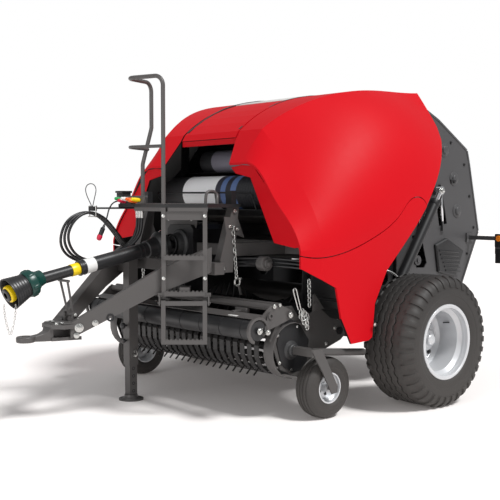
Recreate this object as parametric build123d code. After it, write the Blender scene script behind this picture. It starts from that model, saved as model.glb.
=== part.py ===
from build123d import *
import math
import os

# Round baler with a fixed chamber, parked on its wheels and its jack.
# Millimetres. X is the machine's left, Y its rear, Z up, and the floor is Z = 0.
# The model is drawn with the axle at Y = 0 and moved at the end, so that its
# origin lies under the middle of its length.
FRONT_REACH = 2398.6
REAR_REACH = 1262.0
ROW = Pos(0, (FRONT_REACH - REAR_REACH) / 2, 0)

# Main wheels
AXLE_Z = 425.0
TYRE_R = 425.0
TYRE_WIDTH = 390.0
WHEEL_X = 1135.0
RIM_R = 233.0
RIM_WALL = 9.0
BEAD = 28.0
LUGS = 14
LUG_WIDTH = 60.0
HUB_R = 72.0
AXLE_BEAM = 100.0
STUB_R = 34.0
RUNNING = 0.05
SIDE_GAP = 6.0

# Gauge wheels of the pickup
GAUGE_R = 190.0
GAUGE_WIDTH = 150.0
GAUGE_X = 967.0
GAUGE_Y = -783.0
GAUGE_RIM_R = 95.0
GAUGE_PIN_R = 12.0

# Bale chamber: side walls and a ring of rollers
CHAMBER_Y = 280.0
CHAMBER_Z = 1250.0
RING_R = 705.0
ROLLER_R = 82.0
ROLLER_WALL = 6.0
ROLLER_STEP = 20.0
WALL_X = 626.0
WALL = 8.0
SPLIT_GAP = 10.0
GATE_X = 650.0
GATE_PIVOT = (470.0, 1980.0)
GATE_PIN_R = 22.0

# Tailgate rams: lower eye on the fixed wall, upper eye beside the tailgate's boss
RAM_X = 712.0
RAM_LOW = (150.0, 620.0)
RAM_HIGH = (700.0, 1400.0)
BARREL_R = 38.0
RAM_ROD_R = 20.0
RAM_PIN_R = 15.0

# Side doors: hinge line over the hood's edge, from the front hinge to the rear one
HINGE_FRONT = (316.0, -300.0, 2020.0)
HINGE_REAR = (316.0, 205.0, 2061.0)
HINGE_R = 9.0

# Feed rotor and floor pan behind the pickup
ROTOR = (-500.0, 580.0)
ROTOR_R = 150.0
PAN_R = 166.0

# Pickup: swings about pins on the chamber walls
PICKUP_PIN = (-520.0, 500.0)
PIN_R = 25.0
PICKUP_X = 850.0
PLATE = 10.0
REEL = (-950.0, 420.0)
REEL_R = 225.0
TINE_PITCH = 66.0
TINE = 6.0
BAND_R = 165.0
BAND_TUBE = (-680.0, 430.0)
BAND_TUBE_R = 26.0
BAND_BAR = (-780.0, 232.0)
BAND_BAR_R = 14.0
GUARD_PIN = (-980.0, 640.0)
GUARD_X = PICKUP_X + PLATE / 2 + 14.0
CROP_ROLLER = (-1240.0, 565.0)
CROP_R = 60.0
RING_IN = 66.0
RING_OUT = 82.0

# Front frame, drawbar and what stands on it
COLUMN_X = 450.0
COLUMN_W = 56.0
DECK_Z = 1285.0
DECK_T = 22.0
EYE_Z = 519.0
EYE_R = 55.0
EYE_BORE = 25.0
ARM_W = 60.0
ARM_START = (80.0, -2020.0)
ARM_END = (448.0, -1262.0)
NOSE_Y = -2130.0
EYE_Y = NOSE_Y - 140.0
JACK_X = -243.0
JACK_Y = -1371.0
JACK_W = 70.0
JACK_LEG_W = 58.0
SLEEVE_FOOT_Z = 235.0

# Hoses to the towing vehicle
HOSE_D = 18.0
SOCKET_X = [-160.0, -187.0, -214.0]
HOSE_X = [-301.0, -325.0, -349.0]

# Power shaft
GEARBOX_FRONT = -1140.0
GEARBOX_HALF = 140.0
CROSS_R = 10.0
SPLINE_R = 17.5
JOINT_Y = -1285.0
JOINT_Z = 1041.0
SHAFT_SLOPE = 11.2
SHAFT_R = 45.0
INNER_R = 34.0
REST_PIN = (-1968.0, 640.0)

# Net rolls
NET = (-700.0, 1380.0)
NET_R = 118.0
NET_HALF = WALL_X - WALL / 2 - 7.0
SPINDLE_R = 18.0
SPARE = (-580.0, 1606.0)
SPARE_R = 78.0

# What carries the hood and the fenders
ROOF_R = 18.0
ROOF_DROP = 80.0
ROOF_FRONT_Y = -640.0
ROOF_REAR_Y = 245.0
FENDER_STAYS = [(-590.0, 700.0), (-595.0, 920.0)]


def span(a, b):
    """Box from corner a to corner b."""
    size = [b[i] - a[i] for i in range(3)]
    return Pos(*[(a[i] + b[i]) / 2 for i in range(3)]) * Box(*[abs(s) for s in size])


def rod(a, b, r):
    """Round bar from a to b."""
    way = Vector(*b) - Vector(*a)
    return Plane(origin=a, z_dir=way) * Cylinder(r, way.length, align=(Align.CENTER, Align.CENTER, Align.MIN))


def across(y, z, r, x0, x1):
    """Round bar along X at (y, z)."""
    return rod((x0, y, z), (x1, y, z), r)


def bent(points, bends, r):
    """Round tube along straight runs with bends of the given radii."""
    path = FilletPolyline(*points, radius=bends)
    way = path % 0
    return sweep(Plane(origin=path @ 0, z_dir=way) * Circle(r), path)


def side_plate(points, x, t):
    """Plate of thickness t centred on X = x from an outline in (y, z)."""
    face = make_face(Polyline(*[(0, y, z) for y, z in points], close=True))
    return Pos(x - t / 2, 0, 0) * extrude(face, t, dir=(1, 0, 0))


def front_plate(points, y, t):
    """Plate of thickness t behind Y = y from an outline in (x, z)."""
    face = make_face(Polyline(*[(x, 0, z) for x, z in points], close=True))
    return Pos(0, y, 0) * extrude(face, t, dir=(0, 1, 0))


def flat_plate(points, z, t):
    """Plate of thickness t above Z = z from an outline in (x, y)."""
    face = make_face(Polyline(*[(x, y, 0) for x, y in points], close=True))
    return Pos(0, 0, z) * extrude(face, t, dir=(0, 0, 1))


def inset(points, t):
    """The open line moved by t to its right hand, with mitred corners."""
    runs = [(b[0] - a[0], b[1] - a[1]) for a, b in zip(points, points[1:])]
    units = [(u / math.hypot(u, v), v / math.hypot(u, v)) for u, v in runs]
    moved = []
    for i, (u, v) in enumerate(points):
        before = units[max(i - 1, 0)]
        after = units[min(i, len(units) - 1)]
        normal = (before[1] + after[1], -before[0] - after[0])
        scale = 2 * t / (normal[0] ** 2 + normal[1] ** 2)
        moved.append((u + normal[0] * scale, v + normal[1] * scale))
    return moved


def strip(points, t):
    """Closed outline of a bent sheet: the line and the line moved by t."""
    return points + inset(points, t)[::-1]


def mirrored(shape):
    return mirror(shape, about=Plane.YZ)


def both(shape):
    """The shape and its mirror image as separate solids."""
    return Compound(list(shape.solids()) + list(mirrored(shape).solids()))


def turned(profile, y, z):
    """Ring about the X axis through (y, z) from an outline in (x, radius)."""
    face = make_face(Polyline(*[(x, r, 0) for x, r in profile], close=True))
    return Pos(0, y, z) * revolve(face, axis=Axis.X)


def ring_spot(angle):
    """(y, z) of a chamber roller, from the rear, upwards positive."""
    turn = math.radians(angle)
    return CHAMBER_Y + RING_R * math.cos(turn), CHAMBER_Z + RING_R * math.sin(turn)


# Main wheels

def tyre():
    half = TYRE_WIDTH / 2
    edge = half - BEAD
    # offset from the middle, radius
    side = [(half - 70, TYRE_R), (half - 40, TYRE_R - 15), (half - 17, TYRE_R - 38), (half - 2, TYRE_R - 85),
            (half - 3, RIM_R + 45), (edge + 10, RIM_R + 13), (edge, RIM_R + 10.4), (edge, RIM_R - 4)]
    outline = side + [(-x, r) for x, r in side[::-1]]
    body = turned([(WHEEL_X + x, r) for x, r in outline], 0, AXLE_Z)
    bar = Polyline((half - 68, TYRE_R - 12), (half - 62, TYRE_R - 0.2), (half - 34, TYRE_R - 6), (half - 8, TYRE_R - 30),
                   (half - 0.1, TYRE_R - 62), (half - 12, TYRE_R - 66), close=True)
    lug = Pos(WHEEL_X, 0, AXLE_Z) * (Plane.XZ * extrude(make_face(bar), LUG_WIDTH / 2, both=True))
    inner = mirror(lug, about=Plane.YZ.offset(WHEEL_X))
    centre = Axis((0, 0, AXLE_Z), (1, 0, 0))
    lugs = []
    for i in range(LUGS):
        turn = 360.0 * i / LUGS
        lugs += [lug.rotate(centre, turn), inner.rotate(centre, turn + 180.0 / LUGS)]
    return (body + lugs).solid()


def rim():
    edge = TYRE_WIDTH / 2 - BEAD
    well = RIM_R - 40
    disc = -60.0
    hub = disc + 72
    seat = RIM_R - 4.3
    outline = [
        (-edge - 9, RIM_R + 10), (-edge - 0.3, RIM_R + 10), (-edge - 0.3, seat), (-edge + 40, seat),
        (-edge + 60, well + RIM_WALL), (edge - 60, well + RIM_WALL), (edge - 40, seat), (edge + 0.3, seat),
        (edge + 0.3, RIM_R + 10), (edge + 9, RIM_R + 10), (edge + 9, seat - RIM_WALL), (edge - 36, seat - RIM_WALL),
        (edge - 56, well), (disc + 30, well), (disc + 12, well - 30), (disc + 12, HUB_R + 40),
        (disc + 30, HUB_R), (hub, HUB_R), (hub, 40), (hub + 22, 38), (hub + 22, 0),
        (hub - 20, 0), (hub - 20, STUB_R + RUNNING), (disc - 60, STUB_R + RUNNING), (disc - 60, HUB_R),
        (disc, HUB_R), (disc, well - 36), (disc + 14, well), (-edge + 56, well), (-edge + 36, seat - RIM_WALL),
        (-edge - 9, seat - RIM_WALL),
    ]
    return turned([(WHEEL_X + x, r) for x, r in outline], 0, AXLE_Z)


def axle():
    """Axle beam between the wheels with its stubs and the brackets under the chamber."""
    half = AXLE_BEAM / 2
    hub_face = WHEEL_X - 120.0 - SIDE_GAP
    beam = span((-hub_face + 30, -half, AXLE_Z - half), (hub_face - 30, half, AXLE_Z + half))
    stub_end = WHEEL_X - 60 + 72 - 20 - 0.3
    stubs = across(0, AXLE_Z, STUB_R, -stub_end, stub_end)
    collars = across(0, AXLE_Z, half - 2, -hub_face, hub_face)
    return beam + stubs + collars


# Bale chamber

# Outline of the fixed side walls in (y, z)
FRONT_WALL = [
    (CHAMBER_Y - SPLIT_GAP / 2, AXLE_Z + AXLE_BEAM / 2), (-330, AXLE_Z + AXLE_BEAM / 2), (-420, 400), (-600, 410),
    (-640, 520), (-630, 650), (-620, 950), (-620, 1560), (-350, 1900), (-60, 2000), (120, 2045),
    (CHAMBER_Y - SPLIT_GAP / 2, 2055),
]
# Outline of the tailgate's side walls in (y, z)
GATE_WALL = [
    (CHAMBER_Y + SPLIT_GAP / 2, 2010), (540, 2010), (745, 1921), (1104, 1710), (1134, 1617), (1262, 1092),
    (1227, 1024), (1058, 703), (850, 520), (480, 430), (CHAMBER_Y + SPLIT_GAP / 2, 430),
]

# Openings of the tailgate's side walls in (y, z)
SLOT_OPENING = [(752, 1400), (798, 1412), (864, 1156), (770, 1138), (745, 1250)]
HOOK_OPENING = [(452, 1076), (560, 1080), (626, 872), (598, 838), (505, 842), (496, 930)]
GATE_OPENINGS = [SLOT_OPENING, HOOK_OPENING]
DRIVE_COVER = [(708, 1002), (846, 1047), (1052, 946), (956, 758), (838, 778), (748, 800)]
COVER_T = 22.0


def chamber_walls(panel):
    """Side walls with the pickup's pins, the rams' lower pins, the tailgate's pivots and the fenders' stays."""
    face = WALL_X + WALL / 2
    wall = side_plate(FRONT_WALL, WALL_X, WALL)
    wall += across(*PICKUP_PIN, PIN_R, WALL_X - WALL / 2, PICKUP_X + PLATE / 2 + 8)
    wall += across(*PICKUP_PIN, PIN_R + 18, face, PICKUP_X - PLATE / 2 - 1)
    wall += across(*RAM_LOW, RAM_PIN_R, face, RAM_X + 26)
    wall += across(*RAM_LOW, RAM_PIN_R + 14, face, RAM_X - 26)
    wall += gate_pivot()
    for spot in FENDER_STAYS:
        bar = across(*spot, 12, face, 1300) - panel
        wall += bar.solids().sort_by(Axis.X)[0]
    wall -= across(*ROTOR, 30 + RUNNING, WALL_X - WALL, WALL_X + WALL)
    wall -= across(172, 783, 50, WALL_X - WALL, WALL_X + WALL)
    return wall + mirrored(wall) + roof_tube(ROOF_REAR_Y)


def gate_pivot():
    """Pin that carries the tailgate, in a block on the left wall."""
    y, z = GATE_PIVOT
    face = WALL_X + WALL / 2
    thick = GATE_X - WALL / 2 - 5 - face
    lug = side_plate([(60, 1900), (60, 1960), (y - 30, z + 40), (y + 36, z + 30), (y + 30, z - 35)],
                     face + thick / 2, thick)
    return across(y, z, GATE_PIN_R, face, GATE_X + 20) + lug


def ridge_line():
    """Points (y, z) along the hood's top, from the arch's foot to the tailgate."""
    curve = Spline(*[row[:2] for row in SKIN[1:]])
    points = [curve @ (i / 14) for i in range(15)]
    return [SKIN[0][:2]] + [(p.X, p.Y) for p in points]


def ridge_z(y):
    """Height of the hood's top at y."""
    line = ridge_line()
    for (y0, z0), (y1, z1) in zip(line, line[1:]):
        if y <= y1:
            return z0 + (z1 - z0) * (y - y0) / (y1 - y0)
    return line[-1][1]


def under_hood(y):
    """Height of the hood's lower face over y."""
    slope = (ridge_z(y + 5) - ridge_z(y - 5)) / 10
    return ridge_z(y) - HOOD_T * math.hypot(1, slope)


def roof_tube(y):
    """Tube between the walls with two posts up to the hood."""
    inner = WALL_X - WALL / 2
    z = ridge_z(y) - ROOF_DROP
    tube = across(y, z, ROOF_R, -inner, inner)
    for x in (-220, 220):
        tube += span((x - 14, y - 14, z), (x + 14, y + 14, under_hood(y - 14) - 1))
    return tube


def roller_set(angles, half):
    tubes = []
    for a in angles:
        spot = ring_spot(a)
        tube = across(*spot, ROLLER_R, -half, half) - across(*spot, ROLLER_R - ROLLER_WALL, -half - 1, half + 1)
        tubes.append(tube.solid())
    return Compound(tubes)


def tailgate():
    """Side walls with the rams' bosses, the bent sheet between them, two tubes and the lamp arms."""
    half = GATE_X - WALL / 2
    wall = side_plate(GATE_WALL, GATE_X, WALL)
    wall -= across(*GATE_PIVOT, GATE_PIN_R + RUNNING, GATE_X - WALL, GATE_X + WALL)
    for outline in GATE_OPENINGS:
        wall -= side_plate(outline, GATE_X, 2 * WALL)
    wall += across(*RAM_HIGH, 34, GATE_X + WALL / 2, RAM_X - 24)
    wall += lamp_arm()
    wall += gate_lock()
    sheet = side_plate(strip(GATE_WALL[1:-1], 5.0), 0, 2 * half)
    ribs = [across(y, z, 24, -half, half) for y, z in ((1085, 1560), (1000, 760))]
    return wall + mirrored(wall) + sheet + ribs


def gate_covers():
    """Covers of the roller drives on the outside of the tailgate's walls."""
    cover = side_plate(DRIVE_COVER, GATE_X + WALL / 2 + COVER_T / 2, COVER_T)
    return both(chamfer(cover.faces().sort_by(Axis.X)[-1].edges(), 9))


def gate_lock():
    """Locking rod across the slot with its end blocks, and the disc beside the hooked opening."""
    face = GATE_X + WALL / 2
    low, high = (803, 1118), (772, 1430)
    bar = rod((face + 9, *low), (face + 9, *high), 9)
    ends = [span((face, y - 16, z - 14), (face + 22, y + 16, z + 14)) for y, z in (low, high)]
    disc = across(514, 895, 36, face, face + 10) + across(514, 895, 15, face, face + 20)
    return [bar + ends, disc]


def ram_way(d):
    """(y, z) on the ram's axis at distance d from its lower eye."""
    run = math.dist(RAM_LOW, RAM_HIGH)
    share = d / run
    return (RAM_LOW[0] + (RAM_HIGH[0] - RAM_LOW[0]) * share, RAM_LOW[1] + (RAM_HIGH[1] - RAM_LOW[1]) * share)


def ram_barrels():
    run = math.dist(RAM_LOW, RAM_HIGH)
    barrel = rod((RAM_X, *ram_way(30)), (RAM_X, *ram_way(run - 90)), BARREL_R)
    bore = rod((RAM_X, *ram_way(60)), (RAM_X, *ram_way(run - 80)), RAM_ROD_R + RUNNING)
    eye = across(*RAM_LOW, 34, RAM_X - 20, RAM_X + 20)
    hole = across(*RAM_LOW, RAM_PIN_R + RUNNING, RAM_X - 30, RAM_X + 30)
    return both(barrel - bore + eye - hole)


def ram_rods():
    run = math.dist(RAM_LOW, RAM_HIGH)
    shaft = rod((RAM_X, *ram_way(70)), (RAM_X, *ram_way(run)), RAM_ROD_R)
    eye = across(*RAM_HIGH, 32, RAM_X - 18, RAM_X + 18)
    return both(shaft + eye)


def hinge_spot(share):
    """Point on the left door's hinge line."""
    return tuple(a + (b - a) * share for a, b in zip(HINGE_FRONT, HINGE_REAR))


def goose_neck(share):
    """Bent plate under the hood that carries a pin of the left door."""
    x, y, z = hinge_spot(share)
    outer = HOOD_HALF - 4
    top = ridge_z(y) - HOOD_T / 2
    plate = front_plate([(outer - 20, top), (outer, top), (outer, z - 24), (x - 5, z - 24), (x - 5, z - 1),
                         (x + 5, z - 1), (x + 5, z - 36), (outer - 20, z - 36)], y - 8, 16)
    return plate + rod(hinge_spot(share - 0.09), hinge_spot(share + 0.09), HINGE_R / 2)


def lamp_arm():
    arm = span((GATE_X + WALL / 2, 1130, 1030), (905, 1160, 1060))
    board = span((905, 1118, 930), (985, 1126, 1075))
    foot = span((GATE_X + WALL / 2, 1100, 1010), (GATE_X + 16, 1190, 1080))
    joint = span((900, 1118, 1030), (915, 1160, 1060))
    return arm + board + foot + joint


def lamps():
    lens = span((915, 1126, 1000), (975, 1150, 1066))
    return both(fillet(lens.edges().filter_by(Axis.Y), 8))


def feed_pan():
    half = WALL_X - WALL / 2
    arc = [math.radians(a) for a in (205, 230, 255, 280, 305, 330)]
    line = [(ROTOR[0] + PAN_R * math.cos(a), ROTOR[1] + PAN_R * math.sin(a)) for a in arc]
    return side_plate(strip(line, 5.0), 0, 2 * half)


def feed_rotor():
    half = WALL_X - WALL / 2 - 8
    core = across(*ROTOR, 60, -half, half)
    shaft = across(*ROTOR, 30, -WALL_X - 20, WALL_X + 20)
    rotor = core + shaft
    for i in range(-6, 7):
        turn = i * 12.0
        corners = [math.radians(turn + a) for a in (0, 25, 120, 145, 240, 265)]
        radii = [ROTOR_R, 62, ROTOR_R, 62, ROTOR_R, 62]
        star = [(ROTOR[0] + r * math.cos(a), ROTOR[1] + r * math.sin(a)) for a, r in zip(corners, radii)]
        rotor += side_plate(star, i * 90.0, 8)
    return rotor


# Body panels

# Outer skin of the left side at stations along y: the flat top's height, the crease where the
# door's bulge begins, then (x, z) down the bulge
SKIN = [
    (-1010, 1567, 460, [(570, 1556), (770, 1345), (960, 1130), (1005, 1030), (1005, 440)]),
    (-877, 1782, 515, [(700, 1600), (880, 1400), (1010, 1200), (1050, 1040), (1050, 440)]),
    (-581, 1962, 620, [(800, 1800), (965, 1600), (1065, 1370), (1100, 1080), (1090, 440)]),
    (-349, 2033, 680, [(860, 1885), (1005, 1690), (1095, 1450), (1125, 1100), (1105, 440)]),
    (-20, 2073, 700, [(885, 1930), (1035, 1700), (1112, 1450), (1140, 1100), (1115, 440)]),
    (450, 2090, 700, [(835, 1896), (960, 1680), (1050, 1440), (1085, 1100), (1065, 440)]),
]
SKIN_INNER = 300.0
SKIN_T = 14.0
HOOD_T = 14.0
HOOD_HALF = 284.0
# Seam between door and fender in (y, z), from the front
SEAM = [(-1040, 1012), (-950, 992), (-790, 1000), (-490, 1100), (-250, 1250), (-145, 1340), (-60, 1352), (10, 1300)]
SEAM_GAP = 6.0
# The rest of each side-view outline in (y, z)
DOOR_EDGE = [(410, 1745), (446, 1840), (440, 2200), (-877, 2200), (-877, 1782), (-1010, 1567), (-1040, 1560)]
FENDER_EDGE = [(-368, 890), (-463, 690), (-480, 480), (-510, 462), (-655, 452), (-735, 612), (-775, 800), (-1040, 940)]
# Upper and lower corner of the net box's opening in (x, z)
ARCH_TOP = (298.0, 1738.0)
ARCH_TIP = (357.0, 1540.0)


def skin_section(y, top, crease, side, closed=True):
    """Closed outline of the skin at y, with a crease between its flat top and its bulge."""
    outer = [(SKIN_INNER, top), (crease, top)] + side
    inner = inset(outer, SKIN_T)
    rows = []
    for line in (outer, inner):
        points = [(x, y, z) for x, z in line]
        rows.append((Line(points[0], points[1]), Spline(*points[1:-1]), Line(points[-2], points[-1])))
    out, back = rows
    caps = (Line(out[0] @ 0, back[0] @ 0), Line(out[2] @ 1, back[2] @ 1))
    return make_face([*out, *back, *caps])


def skin():
    faces = [skin_section(*row) for row in SKIN]
    return loft(faces[:2], ruled=True) + loft(faces[1:])


def seam_plate(edge, drop):
    """Plate across the left side, bounded by the seam and by edge."""
    seam = [(0, y, z - drop) for y, z in SEAM]
    rest = [seam[-1]] + [(0, y, z) for y, z in edge] + [seam[0]]
    face = make_face([Spline(*seam), Polyline(*rest)])
    return extrude(face, 1300, dir=(1, 0, 0))


def door(panel):
    """Side door: the skin with the folded front of its nose and hinge knuckles under its top."""
    nose = [ARCH_TIP, (460, 1552), (565, 1545), (765, 1338), (955, 1122), (985, 1052), (940, 1045), (760, 1070),
            (542, 1472), (400, 1500)]
    body = (panel + front_plate(nose, -1000, 14)) & seam_plate(DOOR_EDGE, 0)
    (x0, z0), (x1, z1) = ARCH_TOP, ARCH_TIP
    body -= front_plate([(0, z0), (x0, z0), (x1, z1), (x1, 1000), (0, 1000)], -1100, 240)
    for share in (0.0, 1.0):
        for side in (-1, 1):
            body += rod(hinge_spot(share + side * 0.035), hinge_spot(share + side * 0.095), HINGE_R)
        body -= rod(hinge_spot(share - 0.2), hinge_spot(share + 0.2), HINGE_R / 2 + RUNNING)
    return body.solids().sort_by(SortBy.VOLUME)[-1]


def fender(panel):
    return panel & seam_plate(FENDER_EDGE, SEAM_GAP)


def hood():
    """Fixed cover between the side doors, from the arch over the net box to the tailgate."""
    foot, brow = ridge_line()[:2]
    share = (ARCH_TOP[1] - foot[1]) / (brow[1] - foot[1])
    front = foot[0] + share * (brow[0] - foot[0])
    line = [(front, ARCH_TOP[1])] + ridge_line()[1:]
    cover = side_plate(strip(line, HOOD_T), 0, 2 * HOOD_HALF)
    lip = span((-HOOD_HALF, front + 4, ARCH_TOP[1] - 40), (HOOD_HALF, front + 18, ARCH_TOP[1] - 4))
    cover += lip
    for share in (0.0, 1.0):
        neck = goose_neck(share)
        cover += neck + mirrored(neck)
    return cover


# Drawbar and front frame

def arm():
    """Drawbar arm on the left: a deep plate box that rises to the front frame."""
    run = math.dist(ARM_START, ARM_END) + ARM_W
    way = Vector(ARM_END[0] - ARM_START[0], ARM_END[1] - ARM_START[1], 0).normalized()
    # distance along the arm, height
    outline = [(0, 510), (0, 603), (522, 909), (run, 1060), (run, 905), (522, 764)]
    plane = Plane(origin=(*ARM_START, 0), x_dir=way, z_dir=Vector(way.Y, -way.X, 0))
    face = make_face(Polyline(*outline, close=True))
    bar = plane * (Pos(0, 0, -ARM_W / 2) * extrude(face, ARM_W))
    return bar & span((0, -3000, 0), (2000, ARM_END[1], 2000))


def arm_inner_x(y):
    """X of the left arm's inner face at y."""
    way = Vector(ARM_END[0] - ARM_START[0], ARM_END[1] - ARM_START[1], 0).normalized()
    return ARM_START[0] + (y - ARM_START[1]) * way.X / way.Y - ARM_W / 2 / way.Y


def drawbar():
    left = arm()
    nose = flat_plate([(-125, NOSE_Y + 180), (125, NOSE_Y + 180), (120, NOSE_Y + 50), (60, NOSE_Y), (-60, NOSE_Y),
                       (-120, NOSE_Y + 50)], 572, 24)
    under = flat_plate([(-110, NOSE_Y + 170), (110, NOSE_Y + 170), (60, NOSE_Y), (-60, NOSE_Y)], 500, 20)
    web = span((-30, NOSE_Y, 500), (30, NOSE_Y + 140, 572))
    ear = rest_ear()
    return left + mirrored(left) + nose + under + web + ear + mirrored(ear)


def hitch():
    """Drawbar eye: forged shank under the nose plates with a bored ring."""
    shank = span((-28, EYE_Y + 45, EYE_Z - 20), (28, NOSE_Y, EYE_Z + 20))
    ring = Pos(0, EYE_Y, EYE_Z) * Cylinder(EYE_R, 36)
    pad = span((-58, NOSE_Y - 12, EYE_Z - 20), (58, NOSE_Y, EYE_Z + 77))
    bore = Pos(0, EYE_Y, EYE_Z) * Cylinder(EYE_BORE, 60)
    return shank + ring + pad - bore


def front_frame():
    """Columns, cross beams and rails between the drawbar and the chamber."""
    x = COLUMN_X
    column = side_plate([(-1190, 880), (-1190, 960), (-1092, DECK_Z), (-1040, DECK_Z), (-1090, 880)], x, COLUMN_W)
    rail = span((x - 28, -1120, 980), (x + 28, -640, 1060))
    beam = span((-x - 60, ARM_END[1], 872), (x + 60, -1186, 945))
    rear_beam = span((-WALL_X + WALL / 2, -640, 980), (WALL_X - WALL / 2, -570, 1060))
    cheek = span((GEARBOX_HALF, -1110, 985), (x, -1050, 1055))
    wing = side_plate([(-1157, 1228), (-1049, 1219), (-993, 1092), (-1071, 1119), (-1130, 1060)], x + 24, 8)
    half = column + rail + cheek + wing
    return half + mirrored(half) + beam + rear_beam


def gearbox():
    box = span((-GEARBOX_HALF, GEARBOX_FRONT, 900), (GEARBOX_HALF, -880, 1170))
    box = chamfer(box.edges().filter_by(Axis.Y), 30)
    nose = rod((0, GEARBOX_FRONT - 60, JOINT_Z), (0, GEARBOX_FRONT, JOINT_Z), 62)
    stem = rod((0, JOINT_Y + 44, JOINT_Z), (0, GEARBOX_FRONT, JOINT_Z), 24)
    ears = [span((-13, JOINT_Y - 14, JOINT_Z + s * 31 - 4.5), (13, JOINT_Y + 60, JOINT_Z + s * 31 + 4.5))
            for s in (1, -1)]
    root = rod((0, JOINT_Y + 40, JOINT_Z), (0, JOINT_Y + 60, JOINT_Z), 38)
    hole = rod((0, JOINT_Y, JOINT_Z - 50), (0, JOINT_Y, JOINT_Z + 50), CROSS_R + RUNNING)
    side_shaft = across(-1000, 940, 20, GEARBOX_HALF, WALL_X + 40)
    flange = across(-1000, 940, 36, GEARBOX_HALF, GEARBOX_HALF + 60)
    tip = across(-1000, 940, 30, WALL_X + 20, WALL_X + 60)
    return box + nose + stem + ears + root - hole + side_shaft + flange + tip


# Power shaft, hinged at the cross joint in front of the gearbox

def along_shaft(d, drop=0.0):
    """Point on the shaft's axis at distance d in front of the cross joint."""
    slope = math.radians(SHAFT_SLOPE)
    return (0, JOINT_Y - d * math.cos(slope), JOINT_Z - d * math.sin(slope) - drop)


def pto_cross():
    body = Pos(0, JOINT_Y, JOINT_Z) * Sphere(18)
    upright = rod((0, JOINT_Y, JOINT_Z - 35), (0, JOINT_Y, JOINT_Z + 35), CROSS_R)
    level = across(JOINT_Y, JOINT_Z, CROSS_R, -35, 35)
    return body + upright + level


def pto_outer():
    tube = rod(along_shaft(70), along_shaft(640), SHAFT_R)
    back = Plane(origin=along_shaft(30), x_dir=(1, 0, 0), z_dir=Vector(*along_shaft(0)) - Vector(*along_shaft(30)))
    guard = back * Pos(0, 0, -5) * Cone(SHAFT_R + 16, 84, 90)
    hollow = rod(along_shaft(-60), along_shaft(66), 56)
    inner = rod(along_shaft(90), along_shaft(650), INNER_R + RUNNING)
    ears = [back * Pos(s * 31, 0, -8) * Box(9, 26, 96) for s in (1, -1)]
    hole = across(JOINT_Y, JOINT_Z, CROSS_R + RUNNING, -60, 60)
    return tube + guard - hollow - inner + (ears[0] + ears[1] - hole)


def pto_inner():
    tube = rod(along_shaft(420), along_shaft(945), INNER_R)
    tip = along_shaft(940)
    ahead = (0, tip[1] - 150, tip[2] - 62)
    way = Vector(*ahead) - Vector(*tip)
    end = Plane(origin=tip, z_dir=way)
    cone = end * Pos(0, 0, 85) * Cone(INNER_R + 8, 90, 170)
    hollow = end * Pos(0, 0, 98) * Cone(INNER_R + 6, 86, 144)
    yoke = end * Pos(0, 0, 88) * Cylinder(32, 160)
    spline = end * Pos(0, 0, 138) * Cylinder(SPLINE_R, 60)
    return Compound([(tube - cone).solid(), ((cone - hollow) + (yoke - spline)).solid()])


def pto_rest():
    top = along_shaft(742, INNER_R + 8 + 6)
    legs = [rod((x, *REST_PIN), (x * 1.4, top[1], top[2]), 7) for x in (-30, 30)]
    saddle = across(top[1], top[2], 8, -60, 60)
    foot = across(*REST_PIN, 10, -54, 54)
    return legs[0] + legs[1] + saddle + foot


def rest_ear():
    """Ear on the nose plate for the foot of the shaft's rest."""
    y, z = REST_PIN
    ear = side_plate([(y - 24, 596), (y + 16, 596), (y + 16, z + 18), (y - 18, z + 18)], 48, 10)
    hole = across(y, z, 10 + RUNNING, 30, 80)
    return ear - hole


# Jack

def jack_sleeve():
    half = JACK_W / 2
    tube = span((JACK_X - half, JACK_Y - half, SLEEVE_FOOT_Z), (JACK_X + half, JACK_Y + half, 960))
    hole = JACK_LEG_W / 2 + RUNNING
    bore = span((JACK_X - hole, JACK_Y - hole, 0), (JACK_X + hole, JACK_Y + hole, 940))
    low, high = JACK_Y - 30, JACK_Y + 30
    bracket = flat_plate([(-arm_inner_x(low), low), (JACK_X - half + 1, low), (JACK_X - half + 1, high),
                          (-arm_inner_x(high), high)], 860, 70)
    return tube - bore + bracket


def jack_leg():
    half = JACK_LEG_W / 2
    leg = span((JACK_X - half, JACK_Y - half, 8), (JACK_X + half, JACK_Y + half, 760))
    foot = Pos(JACK_X, JACK_Y, 5) * Cylinder(82, 10)
    hole = span((JACK_X - half + 6, JACK_Y - half + 6, 12), (JACK_X + half - 6, JACK_Y + half - 6, 761))
    return leg - hole + foot


# Deck, ladder and handrail

LADDER_L = (368.0, -1542.0)
LADDER_R = (533.0, -1355.0)
LADDER_W = 26.0
STEP_HINGE_Z = 716.0
STEP_OUT = 38.0
STEP_PIN_R = 7.0


def deck():
    outline = [(555, -1352), (395, -1530), (-90, -1440), (-230, -1470), (-230, -1330), (-COLUMN_X - 40, -1130),
               (-COLUMN_X - 40, -1035), (COLUMN_X + 40, -1035)]
    plate = flat_plate(outline, DECK_Z, DECK_T)
    posts = [span((s * COLUMN_X - 28, -1100, DECK_Z + DECK_T), (s * COLUMN_X + 28, -1060, 1390)) for s in (1, -1)]
    return plate + posts


def ladder_plane():
    """Plane of the ladder: x along its width, y up, z outwards."""
    way = Vector(LADDER_R[0] - LADDER_L[0], LADDER_R[1] - LADDER_L[1], 0).normalized()
    return Plane(origin=(*LADDER_L, 0), x_dir=way, z_dir=Vector(way.Y, -way.X, 0))


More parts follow.
